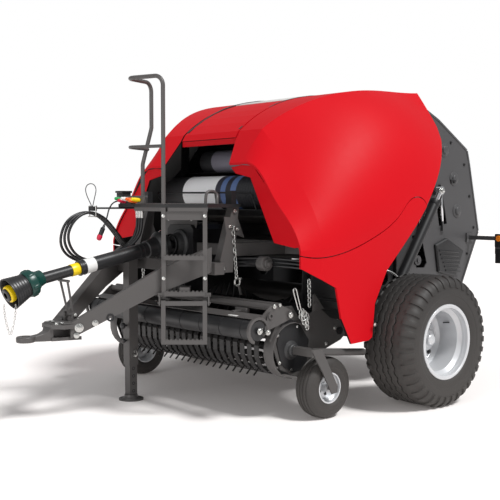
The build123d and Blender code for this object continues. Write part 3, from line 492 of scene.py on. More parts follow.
# Each row: share of the way from the hose's own x to its socket, y, z
HOSE_ROUTE = [
    (0, -1.2926, 0.9586), (0, -1.38, 1.048), (0, -1.462, 1.148), (0, -1.541, 1.225), (0, -1.654, 1.262),
    (0, -1.764, 1.205), (0, -1.816, 1.095), (0, -1.764, 0.985), (0, -1.654, 0.935), (0.35, -1.524, 0.958),
    (0.7, -1.42, 1.01), (1, -1.35, 1.09), (1, -1.332, 1.178), (1, -1.332, 1.263),
]
# How much those points move from one hose to the next, in y and z
HOSE_SPREAD = {5: (-0.014, 0), 6: (-0.014, -0.014), 7: (-0.014, -0.007), 8: (0, -0.007)}
# Each hose: its x at the front beam and at its socket, and its length
HOSES = [(-0.301, -0.16, 1.496), (-0.325, -0.187, 1.527), (-0.349, -0.214, 1.56)]
SLEEVE = [
    (-0.01, 0.001), (-0.01, 0.0125), (0.022, 0.0125), (0.024, 0.0108), (0.046, 0.0108), (0.05, 0.0095),
    (0.05, 0.001),
]


def hoses():
    """Three hydraulic hoses from the front beam over the clamp to the coupling tray."""
    for i, (start, end, length) in enumerate(HOSES):
        points = []
        for k, (share, y, z) in enumerate(HOSE_ROUTE):
            dy, dz = HOSE_SPREAD.get(k, (0, 0))
            points.append(at(start + (end - start) * share, y + dy * i, z + dz * i))
        ends = [lathe(SLEEVE, a, (b - a).normalized(), 20, 0.0006) for a, b in (points[:2], points[:-3:-1])]
        sleeves = made(ends, f"hose_sleeves_{i + 1}", ZINC)
        hang(f"hose_{i + 1}", points, 0.009, HOSE)


def lamp_cable():
    """Lamp cable with its plug and cap."""
    route = [(-1.462, 1.326), (-1.512, 1.326), (-1.554, 1.28), (-1.572, 1.208), (-1.6, 1.15)]
    points = [at(-0.212, y, z) for y, z in route]
    tip = points[-1]
    way = (points[-1] - points[-2]).normalized()
    body = lathe([
        (-0.03, 0.001), (-0.03, 0.0055), (-0.004, 0.0095), (0.0, 0.015), (0.05, 0.015), (0.052, 0.001),
    ], tip, way, 28, 0.001)
    made(body, "lamp_plug", PLASTIC)
    cap = lathe([
        (0.051, 0.001), (0.051, 0.017), (0.06, 0.018), (0.076, 0.016), (0.084, 0.01), (0.085, 0.001),
    ], tip, way, 28, 0.001)
    made(cap, "plug_cap", RED_CAP)
    hang("cable", points, 0.0045, HOSE)


# Wheels

TREAD_STEPS = 144


def tyre():
    """Left main tyre: grooved tread with zigzag edges and rounded shoulder blocks."""
    hub = MAIN_HUB
    tread_half, tread_radius, zigzag = 0.08, 0.41, 0.006
    grooves, groove_half, groove_depth = (0.022, 0.071), 0.0065, 0.011
    shoulder, shoulder_radius, block_height = 0.135, 0.36, 0.0085
    right = [
        (0.009, 0.4245), (0.018, 0.4245), (0.026, 0.4244), (0.046, 0.424), (0.066, 0.4232), (0.076, 0.4226),
        (0.1, 0.42), (0.126, 0.4165), (0.15, 0.4085), (0.17, 0.3955), (0.184, 0.375), (0.1905, 0.35),
        (0.1935, 0.335), (0.1925, 0.328), (0.1935, 0.322), (0.1925, 0.3), (0.19, 0.297), (0.189, 0.28),
        (0.182, 0.258), (0.177, 0.2475), (0.17, 0.2435), (0.167, 0.2345),
    ]
    profile = [(-x, r) for x, r in right[::-1]] + right
    obj = chain([hub + Vector((x, 0, r)) for x, r in profile])
    take_all()
    bpy.ops.mesh.spin(steps=TREAD_STEPS, angle=math.tau, center=hub, axis=(1, 0, 0))
    take_all()
    bpy.ops.mesh.remove_doubles(threshold=1e-5)
    bpy.ops.mesh.normals_make_consistent(inside=False)

    def steps_round(co):
        return math.atan2(co.y - hub.y, co.z - hub.z) / math.tau * TREAD_STEPS

    def column(co):
        return int((steps_round(co) + TREAD_STEPS + 0.5) % TREAD_STEPS)

    def radius(co):
        return math.hypot(co.y - hub.y, co.z - hub.z)

    def shoulder_block(co):
        offset = 2 if co.x > hub.x else 0
        outside = abs(co.x - hub.x) > shoulder and radius(co) > shoulder_radius
        return outside and (steps_round(co) + offset) % 4 > 1.7

    for shift, wanted in ((zigzag, (0, 1)), (-zigzag, (2, 3))):
        pick(obj, lambda co: abs(co.x - hub.x) < tread_half and column(co) % 4 in wanted)
        bpy.ops.transform.translate(value=(shift, 0, 0))
    mode("FACE")
    for middle in grooves:
        low, high = middle - groove_half, middle + groove_half
        pick(obj, lambda co: low < abs(co.x - hub.x) < high and radius(co) > tread_radius, "faces")
        bpy.ops.mesh.extrude_region_shrink_fatten(TRANSFORM_OT_shrink_fatten={"value": -groove_depth})
    pick(obj, shoulder_block, "faces")
    bpy.ops.mesh.extrude_region_shrink_fatten(TRANSFORM_OT_shrink_fatten={"value": block_height})
    return settle(obj, 0.0022)


def gauge_tyre():
    """Left gauge wheel's tyre, ribbed all round."""
    half = [
        (0.007, 0.188), (0.009, 0.182), (0.015, 0.182), (0.017, 0.188), (0.026, 0.1875), (0.032, 0.186),
        (0.034, 0.18), (0.04, 0.179), (0.043, 0.184), (0.054, 0.178), (0.065, 0.166), (0.072, 0.148),
        (0.0735, 0.134), (0.0715, 0.131), (0.0725, 0.128), (0.07, 0.112), (0.064, 0.102), (0.061, 0.0955),
    ]
    profile = [(-x, r) for x, r in half[::-1]] + half
    return lathe(profile, GAUGE_HUB, steps=72, edge=0.0008)


def turns(count):
    """Angles evenly round a circle."""
    return [math.tau * k / count for k in range(count)]


def around(first, count):
    """The piece and its like, evenly round the main wheel's hub."""
    return [first] + [copied(first, turn=turn, about=MAIN_HUB) for turn in turns(count)[1:]]


def rim_details():
    """Bolts, hub cap, valve and bright flange ring of the left rim."""
    hub = MAIN_HUB
    face = -0.048
    nuts = around(bolt(hub + Vector((face, 0, 0.138)), 0.013), 8)
    cap = lathe([
        (0.01, 0.0735), (0.016, 0.074), (0.03, 0.06), (0.034, 0.04), (0.052, 0.037), (0.058, 0.03),
        (0.06, 0.001),
    ], hub, steps=48, edge=0.0015)
    ring = around(bolt(hub + Vector((0.0115, 0, 0.058)), 0.006), 6)
    flange = lathe([
        (0.1665, 0.236), (0.174, 0.2425), (0.1785, 0.2405), (0.178, 0.229), (0.172, 0.2225), (0.15, 0.2195),
        (0.15, 0.2175),
    ], hub, steps=96, edge=0.001)
    step = lathe([
        (face - 0.001, 0.168), (face + 0.004, 0.166), (face + 0.005, 0.16), (face + 0.001, 0.156),
        (face - 0.001, 0.156),
    ], hub, steps=72)
    valve = bar(hub + Vector((0.03, 0.148, 0.098)), hub + Vector((0.075, 0.155, 0.103)), 0.0045, 12)
    pair(nuts + ring, "wheel_bolts", BOLT, "wheel_left", "wheel_right")
    pair([cap, flange, step], "rim_rings", SILVER, "wheel_left", "wheel_right")
    pair(valve, "tyre_valve", PLASTIC, "wheel_left", "wheel_right")


def wheels():
    """Tyres of both axles with their bolts and rings."""
    pair(tyre(), "main_tyre", RUBBER, "wheel_left", "wheel_right", ("tyre",))
    pair(gauge_tyre(), "pickup_tyre", RUBBER, "gauge_wheel_left", "gauge_wheel_right", ("gauge_tyre",))
    rim_details()
    nuts = [
        bolt(GAUGE_HUB + Vector((0.01, 0.045 * math.sin(a), 0.045 * math.cos(a))), 0.007)
        for a in (0.4, 1.657, 2.913, 4.17, 5.427)
    ]
    pair(nuts, "gauge_bolts", BOLT, "gauge_wheel_left", "gauge_wheel_right")


# Power shaft

def down_shaft(d):
    """The place d metres down the power shaft from its rear joint."""
    return at(0, -1.285 - d * math.cos(SHAFT_SLOPE), 1.041 - d * math.sin(SHAFT_SLOPE))


SHAFT_WAY = Vector((0, -math.cos(SHAFT_SLOPE), -math.sin(SHAFT_SLOPE)))
KNUCKLE = down_shaft(0)
SHAFT_TIP = down_shaft(0.94)
# The front joint hangs down further than the shaft
YOKE_WAY = Vector((0, -150, -62)).normalized()


def rear_guards():
    """Collar over the rear joint and ridges on the outer guard tube."""
    collar = lathe([
        (0.055, 0.046), (0.04, 0.075), (0.02, 0.092), (0.026, 0.094), (0.048, 0.078), (0.064, 0.062),
        (0.085, 0.06), (0.11, 0.056), (0.13, 0.056), (0.134, 0.0465),
    ], KNUCKLE, SHAFT_WAY, 40, 0.001)
    made(collar, "rear_guard_collar", PLASTIC, "shaft_outer")
    ridges = [
        lathe(band(d, d + 0.01, 0.0445, 0.0478), KNUCKLE, SHAFT_WAY, 36, 0.001)
        for d in (0.16, 0.19, 0.6, 0.628)
    ]
    made(ridges, "outer_guard_ridges", PLASTIC, "shaft_outer")


def front_guards():
    """Ribbed cone over the front joint, behind a green ring with six lobes."""
    ribbed = [(0.06, 0.0605), (0.062, 0.07)]
    for k in range(6):
        d = 0.064 + k * 0.018
        r = 0.0705 + k * 0.004
        ribbed += [(d, r), (d + 0.01, r + 0.0008), (d + 0.011, r + 0.0038), (d + 0.017, r + 0.004)]
    ribbed += [(0.176, 0.096), (0.177, 0.0915), (0.06, 0.06)]
    cone = lathe(ribbed, SHAFT_TIP, YOKE_WAY, 48, 0.0008)
    made(cone, "front_guard_cone", PLASTIC, "shaft_inner")
    green = lathe([
        (-0.055, 0.036), (-0.05, 0.046), (-0.02, 0.05), (0.004, 0.066), (0.012, 0.0785), (0.05, 0.08),
        (0.062, 0.076), (0.062, 0.065),
    ], SHAFT_TIP, YOKE_WAY, 48, 0.0015)
    lobes = []
    turned = YOKE_WAY.orthogonal().normalized()
    for turn in turns(6):
        spin = Matrix.Rotation(turn, 3, YOKE_WAY) @ turned
        spot = SHAFT_TIP + YOKE_WAY * 0.018 + spin * 0.069
        lobes.append(bar(spot, spot + YOKE_WAY * 0.034, 0.015, 16, 0.003))
    made([green] + lobes, "green_guard_ring", GREEN, "shaft_inner")


def front_yoke():
    """Sleeve of the yoke and the yellow ring that locks it."""
    yoke = lathe([
        (0.095, 0.019), (0.095, 0.034), (0.15, 0.036), (0.176, 0.038), (0.196, 0.04), (0.2, 0.033),
        (0.2, 0.019),
    ], SHAFT_TIP, YOKE_WAY, 40, 0.0012)
    made(yoke, "yoke_sleeve", PLASTIC, "shaft_inner")
    ring = lathe([
        (0.158, 0.037), (0.156, 0.0485), (0.162, 0.0505), (0.182, 0.0505), (0.188, 0.0465), (0.189, 0.037),
    ], SHAFT_TIP, YOKE_WAY, 40, 0.0012)
    made(ring, "yoke_ring", YELLOW, "shaft_inner")


def shaft_marks():
    """Yellow band and blank label on the guard tubes."""
    guard_band = lathe(band(0.64, 0.694, 0.0335, 0.0375), KNUCKLE, SHAFT_WAY, 40, 0.0012)
    made(guard_band, "inner_guard_band", YELLOW, "shaft_inner")
    label = lathe(band(0.53, 0.6, 0.0452, 0.0457), KNUCKLE, SHAFT_WAY, 40)
    made(label, "blank_shaft_label", LABEL, "shaft_outer")


def shaft_chain():
    """Chain that holds the front guard, hanging in a narrow V."""
    links = []
    top = SHAFT_TIP + YOKE_WAY * 0.172 + Vector((0, 0, -0.068))
    for k in range(12):
        spread = 0.024 * (1 - (k / 12) ** 2)
        for s in (1, -1):
            spot = top + Vector((s * spread, s * spread, -0.0145 * k))
            links.append(link(spot, k % 2 * math.pi / 2, 0.0095, 0.0017))
    made(links, "guard_chain", ZINC, "shaft_inner")


def link(centre, turn, reach, r):
    """One hanging chain link, long way up."""
    flat = []
    for angle in turns(8):
        u = math.cos(angle) * reach * 0.62
        spot = Vector((u * math.cos(turn), u * math.sin(turn), math.sin(angle) * reach))
        flat.append(spot + Vector(centre))
    return wire(flat, r, closed=True, sides=1)


# Covers

def ridge(y):
    """Height of the hood's top at y from the axle."""
    line = [
        (-1.01, 1.567), (-0.877, 1.782), (-0.8, 1.838), (-0.7, 1.9), (-0.581, 1.962), (-0.46, 2.004),
        (-0.349, 2.033), (-0.2, 2.058), (-0.02, 2.074), (0.2, 2.083), (0.45, 2.09),
    ]
    for (y0, z0), (y1, z1) in zip(line, line[1:]):
        if y <= y1:
            return z0 + (z1 - z0) * (y - y0) / (y1 - y0)
    return line[-1][1]


def roof_sheet(x0, x1, y0, y1, t, lift=0.0, steps=12):
    """Sheet along the hood's top, t thick and lifted off it."""
    top = [(y0 + (y1 - y0) * i / steps) for i in range(steps + 1)]
    upper = [(y, ridge(y) + lift + t) for y in top]
    lower = [(y, ridge(y) + lift) for y in reversed(top)]
    return side(upper + lower, x0, x1 - x0, 0.002)


def covers():
    """Painted highlight on the hood's top, black strips along its edges, hinge pins and catches of the side
    doors.
    """
    # Painted highlight: a thin pale sheet laid on the hood's flat top
    made(roof_sheet(-0.262, 0.262, -0.43, 0.435, 0.005, 0.0005), "roof_highlight", PALE_AND_HIGHLIGHT)
    # Black strips along both edges of the hood's top, the one at -x thicker
    made([
        roof_sheet(-0.283, -0.264, -0.86, 0.44, 0.01, 0.0), roof_sheet(0.264, 0.283, -0.86, 0.44, 0.004, 0.0),
    ], "roof_dark_strips", PLASTIC)
    hinges = []
    for share in (0.0, 1.0):
        y, z = -0.3 + share * 0.505, 2.02 + share * 0.041
        hinges.append(bar(at(0.316, y - 0.05, z - 0.004), at(0.316, y - 0.046, z - 0.004), 0.008, 6, 0.001))
        hinges.append(bar(at(0.316, y + 0.046, z + 0.004), at(0.316, y + 0.05, z + 0.004), 0.008, 6, 0.001))
    pair(hinges, "hinge_pin_heads", ZINC)
    catch = [
        block(at(1.08, 0.32, 1.44), at(1.096, 0.372, 1.47), 0.004),
        bar(at(1.09, 0.346, 1.455), at(1.106, 0.346, 1.455), 0.011, 20, 0.002),
    ]
    pair(catch, "door_catches", PLASTIC, "left_door", "right_door")


# Coupling tray, rail and hose clamp

def coupling(place, coat, name):
    """Coloured cap of a coupling."""
    r = 0.013
    way = Vector((0, -1, 0.12)).normalized()
    cap = lathe([
        (0.0, 0.001), (0.0, r * 0.8), (0.01, r), (0.04, r), (0.046, r * 0.86), (0.06, r * 0.82),
        (0.064, r * 0.6), (0.064, 0.001),
    ], place, way, 24, 0.0008)
    made(cap, name, coat)


def tray():
    """Coupling caps, their rail and the control box."""
    for x, z, coat, name in [
            (-0.2, 1.334, GREEN_CAP, "cap_green"), (-0.165, 1.322, RED_CAP, "cap_red"),
            (-0.13, 1.334, LABEL, "cap_white"), (-0.075, 1.33, ORANGE, "cap_orange"),
            (-0.045, 1.322, ORANGE, "cap_orange_low"), (-0.012, 1.33, YELLOW, "cap_yellow"),
    ]:
        coupling(at(x, -1.452, z), coat, name)
    rail = [
        bar(at(-0.225, -1.43, 1.352), at(0.04, -1.43, 1.352), 0.007, 20),
        block(at(-0.06, -1.452, 1.306), at(0.03, -1.43, 1.352), 0.003),
        block(at(-0.222, -1.456, 1.343), at(-0.098, -1.4, 1.352), 0.003),
    ]
    made(rail, "coupling_rail", GREY)
    box = [
        block(at(-0.3, -1.44, 1.33), at(-0.226, -1.372, 1.385), 0.007),
        block(at(-0.306, -1.446, 1.378), at(-0.22, -1.366, 1.392), 0.004),
    ]
    made(box, "control_box", PLASTIC)


def hose_clamp():
    """Tie loop and bolted clamp round the hoses, at x, y."""
    x, y = -0.325, -1.606
    rise = [
        (0, 1.29), (0.014, 1.345), (0.03, 1.4), (0.014, 1.432), (-0.015, 1.44), (-0.044, 1.428),
        (-0.056, 1.395), (-0.035, 1.34), (-0.006, 1.29),
    ]
    made(wire([at(x, y + dy, z) for dy, z in rise], 0.0028), "tie_loop", BLACK)
    clamp = [block(at(x - 0.043, y - 0.01, 1.22), at(x + 0.043, y + 0.01, 1.227), 0.0015)]
    for bolt_x in (x - 0.038, x + 0.038):
        clamp.append(bar(at(bolt_x, y, 1.222), at(bolt_x, y, 1.293), 0.004, 12))
        clamp.append(bolt(at(bolt_x, y, 1.29), 0.007, (0, 0, 1)))
    made(clamp, "clamp_bolts", ZINC)


# Chains, pins and levers beside the pickup

def chain_run(top, low, pitch=0.026, r=0.0034):
    """Links of a chain that hangs from top to low."""
    top, low = Vector(top), Vector(low)
    count = int((low - top).length / pitch)
    links = [link(top, 0, pitch * 0.66, r)]
    for k in range(1, count + 1):
        move = (low - top) * k / count
        links.append(copied(links[0], move, k % 2 * math.pi / 2, "Z", top))
    return links


def lift_chain():
    """Lift chain with its pin, its shackle and the windguard's strap."""
    lift = chain_run(at(0.484, -1.094, 1.155), at(0.484, -1.064, 0.85))
    ring = [at(0.484, -1.058 + 0.022 * math.sin(a), 0.818 + 0.026 * math.cos(a)) for a in turns(10)]
    shackle = wire(ring, 0.0058, closed=True, sides=2)
    cross = bar(at(0.47, -1.04, 0.838), at(0.498, -1.04, 0.838), 0.009, 16)
    strap = plate([
        at(0.48, -1.055, 0.8), at(0.48, -1.04, 0.8), at(0.48, -1.02, 0.735), at(0.48, -1.036, 0.735),
    ], (0.008, 0, 0))
    made(lift, "lift_chain", ZINC)
    made([shackle, cross], "chain_shackle", ZINC)
    made(strap, "chain_strap", GREY)
    pin = bolt(at(0.478, -1.112, 1.165), 0.01)
    made(pin, "chain_pin", ZINC)


def guard_chains():
    """Bunched chain, ring and spring clip on the pickup's side plate at x."""
    x = 0.884
    hold = chain_run(at(x, -0.822, 0.832), at(x, -0.818, 0.69), 0.028, 0.0038)
    bunch = []
    for k, (dy, dz, turn) in enumerate([
            (0, 0, 0.2), (0.014, -0.014, 1.1), (-0.012, -0.022, 2.2), (0.022, -0.034, 0.6),
            (0.002, -0.044, 1.7), (0.028, -0.052, 2.6), (0.012, -0.066, 0.4), (0.034, -0.074, 1.4),
            (0.022, -0.09, 2.9), (0.038, -0.1, 0.9), (-0.02, -0.004, 1.3), (-0.026, -0.028, 0.1),
    ]):
        bunch.append(link(at(x + 0.012 + 0.004 * (k % 3), -0.888 + dy, 0.655 + dz), turn, 0.018, 0.0038))
    hoop = [at(x + 0.01, -0.866 + 0.034 * math.sin(a), 0.615 + 0.034 * math.cos(a)) for a in turns(12)]
    clip = [
        at(x + 0.012, -0.926, 0.668), at(x + 0.014, -0.962, 0.762), at(x + 0.015, -0.972, 0.79),
        at(x + 0.016, -0.96, 0.803), at(x + 0.016, -0.946, 0.794), at(x + 0.015, -0.936, 0.762),
        at(x + 0.014, -0.905, 0.668),
    ]
    pair(hold + bunch + [wire(hoop, 0.0034, closed=True)], "guard_chains", ZINC, "pickup")
    pair(wire(clip, 0.0042), "spring_clips", ZINC, "pickup")


def guard_details():
    """Bolts and levers on the windguard's end plates at x."""
    x = 0.879
    nuts = [
        bolt(at(x + 0.018, -1.24, 0.565), 0.015), bolt(at(x, -1.105, 0.7), 0.011),
        bolt(at(x, -1.06, 0.705), 0.009), bolt(at(x + 0.008, -0.98, 0.64), 0.014),
    ]
    pair(nuts, "guard_bolts", ZINC, "guard")
    lever = side([
        (-1.165, 0.652), (-1.14, 0.668), (-1.12, 0.655), (-1.168, 0.56), (-1.196, 0.528), (-1.214, 0.54),
        (-1.19, 0.57),
    ], x + 0.002, 0.008)
    roll = bar(at(x + 0.01, -1.19, 0.556), at(x + 0.04, -1.19, 0.556), 0.017, 20, 0.003)
    tip = bolt(at(x + 0.04, -1.19, 0.556), 0.011)
    eye = lathe([
        (0.0, 0.01), (0.0, 0.019), (0.01, 0.019), (0.01, 0.01), (0.0, 0.01),
    ], at(x + 0.008, -1.146, 0.645), steps=28, edge=0.001)
    pair([lever, eye], "guard_levers", GREY, "guard")
    pair([roll, tip], "lever_rolls", ZINC, "guard")


def guard_front():
    """Brackets and blank label on the windguard's sheet, and seams on its roller."""
    plates = []
    for shift in (-0.6, -0.2, 0.2, 0.6):
        plates.append(block(at(shift - 0.055, -1.13, 0.64), at(shift + 0.055, -1.104, 0.672), 0.003))
        plates.append(block(at(shift - 0.012, -1.196, 0.649), at(shift + 0.012, -1.11, 0.659), 0.002))
    made(plates, "housing_brackets", GREY, "guard")
    seams = [
        lathe(band(s, s + 0.006, 0.06, 0.0622), CROP_ROLLER, steps=40)
        for s in [-0.78 + 0.195 * k for k in range(9)]
    ]
    made(seams, "crop_roller_seams", PLASTIC, "press_roller")
    label = block(at(0.62, -1.25, 0.632), at(0.7, -1.23, 0.64), 0.001)
    made(label, "blank_guard_label", LABEL, "guard")


def pickup_details():
    """Bolts, bearings, shields and gussets on the pickup's side plates at x."""
    x = 0.855
    spots = [(-1.06, 0.52), (-0.9, 0.56), (-0.56, 0.52), (-0.64, 0.43), (-0.95, 0.3), (-1.04, 0.35)]
    nuts = [bolt(at(x, y, z), 0.01) for y, z in spots]
    ring = lathe([
        (0.0, 0.02), (0.0, 0.062), (0.008, 0.058), (0.012, 0.04), (0.03, 0.038), (0.034, 0.032),
        (0.034, 0.001),
    ], at(x, REEL_Y, REEL_Z), steps=40, edge=0.0015)
    pair(nuts, "plate_bolts", ZINC, "pickup")
    pair(ring, "reel_bearings", CAST, "pickup")
    shield = side([
        (-1.01, 0.64), (-0.88, 0.575), (-0.8, 0.47), (-0.82, 0.3), (-0.94, 0.28), (-1.03, 0.34),
        (-1.07, 0.47),
    ], x + 0.001, 0.006, 0.002)
    pair(shield, "drive_shields", BLACK, "pickup")
    triangle = side([(-0.77, 0.64), (-0.766, 0.745), (-0.752, 0.752), (-0.668, 0.652)], x + 0.003, 0.007)
    pair([triangle, bolt(at(x + 0.01, -0.748, 0.69), 0.009)], "gusset_plates", GREY, "pickup")


def end_shields():
    """Curved sheet between the last stripper band and the pickup's side plate."""
    outline = []
    for radius, angles in ((0.172, range(40, 276, 15)), (0.167, range(265, 29, -15))):
        for angle in angles:
            turn = math.radians(angle)
            outline.append((REEL_Y + radius * math.cos(turn), REEL_Z + radius * math.sin(turn)))
    pair(side(outline, 0.797, 0.084, 0.001), "end_shields", GREY, "pickup")


def tine_coils():
    """Coil springs where the tines leave their bars, and the second tine of each pair."""
    reach, tip_reach = 0.11, 0.225
    count, pitch = 22, 0.066
    coil = [
        (-0.014, 0.0145), (-0.011, 0.019), (-0.007, 0.0145), (-0.003, 0.019), (0.001, 0.0145), (0.005, 0.019),
        (0.009, 0.0145),
    ]
    parts = []
    for degrees in (45, 135, 225, 315):
        angle = math.radians(degrees)
        spot = REEL_HUB + Vector((0, reach * math.cos(angle), reach * math.sin(angle)))
        for i in range(count):
            place = spot + Vector(((i - (count - 1) / 2) * pitch, 0, 0))
            if parts:
                parts.append(copied(parts[0], move=place - base))
            else:
                base = place
                parts.append(lathe(coil, place, steps=10))
            root = place + Vector((0.0075, 0, 0))
            tip = REEL_HUB + Vector((root.x, tip_reach * math.cos(angle), tip_reach * math.sin(angle)))
            parts.append(bar(root, tip, 0.003, 8, 0))
    made(parts, "tine_coils", DARK_STEEL, "tine_reel")


# Drawbar, hitch and jack

def tongue():
    """Forged drawbar tongue that narrows and bends down to its eye."""
    eye = at(0, -2.27, 0.519)
    ring = lathe([
        (-0.017, 0.0255), (-0.017, 0.05), (-0.012, 0.055), (0.012, 0.055), (0.017, 0.05), (0.017, 0.0255),
        (-0.017, 0.0255),
    ], eye, (0, 0, 1), 48, 0.001)
    outline = [
        (-2.225, 0.503), (-2.225, 0.535), (-2.18, 0.541), (-2.14, 0.556), (-2.116, 0.612), (-2.116, 0.5),
        (-2.16, 0.499),
    ]
    shank = prism([at(-0.03, y, z) for y, z in outline], (0.06, 0, 0))
    mode("VERT")
    pick(shank, lambda co: co.y > at(0, -2.12, 0).y)
    bpy.ops.transform.resize(value=(1.85, 1, 1), center_override=at(0, -2.116, 0.556))
    pick(shank, lambda co: at(0, -2.15, 0).y < co.y < at(0, -2.13, 0).y)
    bpy.ops.transform.resize(value=(1.35, 1, 1), center_override=at(0, -2.14, 0.556))
    settle(shank, 0.005, 3)
    made([shank, ring], "drawbar_tongue", GREY, instead_of=("hitch",))


def drawbar_details():
    """Bolts, hole ring, nose plate and welds at the drawbar's front, and pins of the shaft's rest."""
    heads = [bolt(at(x, y, 0.596), 0.013, (0, 0, 1)) for y in (-2.06, -2.095) for x in (-0.055, 0.055)]
    way = Vector((0.368, 0.758, 0)).normalized()
    out = Vector((way.y, -way.x, 0))
    start = at(0.08, -2.02, 0) + out * 0.03
    for run, z, r in ((0.05, 0.575, 0.02), (0.145, 0.6, 0.014), (0.035, 0.53, 0.013)):
        heads.append(bolt(start + way * run + Vector((0, 0, z)), r, out))
    hole = start + way * 0.235 + Vector((0, 0, 0.63))
    collar = lathe([
        (0.0, 0.012), (0.001, 0.024), (0.004, 0.024), (0.004, 0.015), (0.002, 0.012),
    ], hole, out, 32)
    made(heads, "drawbar_bolts", ZINC)
    made(collar, "arm_hole_ring", BLACK)
    cover = plate([
        at(-0.1, -2.075, 0.597), at(0.1, -2.075, 0.597), at(0.118, -1.975, 0.597), at(-0.118, -1.975, 0.597),
    ], (0, 0, 0.006), 0.002)
    made(cover, "nose_plate", GREY)
    welds = [bar(at(s * 0.052, -2.018, 0.603), at(s * 0.11, -1.955, 0.61), 0.005, 10) for s in (1, -1)]
    made(welds, "nose_welds", GREY)
    pins = [bolt(at(s * 0.054, -1.968, 0.64), 0.01, (s, 0, 0)) for s in (1, -1)]
    made(pins, "rest_pins", ZINC, "shaft_rest")


def jack_details():
    """Knobs, pin, hole rims, cap and foot of the jack, which stands at x, y."""
    x, y = -0.243, -1.371
    knob = lathe([
        (0.0, 0.006), (0.014, 0.006), (0.016, 0.018), (0.022, 0.021), (0.034, 0.021), (0.04, 0.014),
        (0.041, 0.001),
    ], at(x, y - 0.036, 0.5), (0, -1, 0), 28, 0.001)
    low = lathe([
        (0.0, 0.005), (0.01, 0.005), (0.012, 0.014), (0.026, 0.014), (0.03, 0.008), (0.03, 0.001),
    ], at(x, y - 0.036, 0.4), (0, -1, 0), 28, 0.001)
    made([knob, low], "jack_knobs", PLASTIC)
    pin = bar(at(x - 0.052, y, 0.3), at(x + 0.06, y, 0.3), 0.008, 20, 0.002)
    pull = lathe([
        (-0.003, 0.016), (-0.003, 0.022), (0.003, 0.022), (0.003, 0.016), (-0.003, 0.016),
    ], at(x + 0.056, y, 0.318), (0, 1, 0), 24)
    made([pin, pull], "jack_pin", ZINC)
    collars = [
        lathe(band(0.0, 0.0005, 0.007, 0.011), at(x + 0.0292, y, z), (1, 0, 0), 24)
        for z in (0.062, 0.112, 0.162, 0.212)
    ]
    made(collars, "leg_hole_rims", BLACK, "leg")
    top = block(at(x - 0.042, y - 0.042, 0.955), at(x + 0.042, y + 0.042, 0.966), 0.003)
    stub = bar(at(x, y, 0.966), at(x, y, 0.985), 0.014, 24, 0.003)
    made([top, stub], "jack_cap", GREY)
    foot = lathe([
        (0.0, 0.06), (0.006, 0.058), (0.01, 0.046), (0.026, 0.043),
    ], at(x, y, 0.0099), (0, 0, 1), 40)
    made(foot, "foot_collar", GREY, "leg")


# Ladder, deck and column

def ladder_details():
    """Toothed grips on the rungs, and the ladder's bolts."""
    a, b = at(0.368, -1.542, 0), at(0.533, -1.355, 0)
    way = (b - a).normalized()
    out = Vector((way.y, -way.x, 0))
    width = (b - a).length
    teeth = []
    for z, deep, body in ((0.778, 0.02, "chassis"), (0.996, 0.02, "chassis"), (0.491, 0.013, "step")):
        row = []
        shift = out * (0.038 if body == "step" else 0.0)
        for k in range(9):
            spot = a + way * (0.022 + (width - 0.044) * k / 8) + shift + Vector((0, 0, z))
            corners = [
                spot + way * 0.006 * u + out * deep * v
                for u, v in ((-1, -1), (1, -1), (1, 1), (-1, 1))
            ]
            row.append(plate(corners, (0, 0, 0.006), 0.001))
        if body == "step":
            made(row, "step_grip", GREY, body)
        else:
            teeth += row
    made(teeth, "rung_grips", GREY)
    heads = [
        bolt(a + way * s + out * 0.013 + Vector((0, 0, z)), 0.008, out)
        for s in (0.0, width) for z in (1.236, 0.86)
    ]
    made(heads, "ladder_bolts", ZINC)


def deck_details():
    """Panel and posts under the deck, hoop and bolts of the column."""
    y0 = -1.112
    panel = plate([
        at(-0.235, y0, 1.236), at(0.15, y0, 1.236), at(0.118, y0, 1.062), at(-0.196, y0, 1.058),
    ], (0, 0.006, 0), 0.003)
    heads = [bolt(at(x, y0, 1.206), 0.009, (0, -1, 0)) for x in (-0.165, 0.085)]
    made(panel, "front_panel", GREY)
    posts = [
        block(at(x - 0.016, y0 + 0.006, 1.05), at(x + 0.016, y0 + 0.03, 1.286), 0.003)
        for x in (-0.18, 0.1)
    ]
    made(posts, "panel_posts", GREY)
    arch = [
        at(0.4, -1.15, 1.307), at(0.4, -1.16, 1.35), at(0.415, -1.175, 1.368), at(0.44, -1.19, 1.372),
        at(0.465, -1.205, 1.362), at(0.478, -1.215, 1.34), at(0.478, -1.215, 1.307),
    ]
    made(wire(arch, 0.009), "deck_hoop", GREY)
    for s in (1, -1):
        for y, z in ((-1.165, 0.905), (-1.075, 1.262), (-1.058, 1.15)):
            heads.append(bolt(at(s * 0.482, y, z), 0.01, (s, 0, 0)))
    made(heads, "column_bolts", ZINC)


def deck_surface():
    """Lips round the deck and the studs that give a foothold."""
    lips = [
        plate([
            at(0.555, -1.352, 1.262), at(0.395, -1.53, 1.262), at(0.395, -1.53, 1.286),
            at(0.555, -1.352, 1.286),
        ], Vector((-0.0045, 0.004, 0)), 0.0),
        plate([
            at(0.395, -1.53, 1.262), at(-0.09, -1.44, 1.262), at(-0.09, -1.44, 1.286),
            at(0.395, -1.53, 1.286),
        ], Vector((0.001, 0.005, 0)), 0.0),
    ]
    made(lips, "deck_lips", GREY)
    first_x, first_y, pitch = -0.38, -1.075, 0.046
    studs = [bar(at(first_x, first_y, 1.307), at(first_x, first_y, 1.3105), 0.0095, 12, 0.001)]
    for i in range(18):
        for k in range(8):
            x, y = first_x + pitch * i, first_y - pitch * k
            if (i or k) and y > -1.36 + max(0, -x - 0.24) * 1.4 and x < 0.46:
                studs.append(copied(studs[0], move=(x - first_x, y - first_y, 0)))
    made(studs, "deck_studs", GREY)


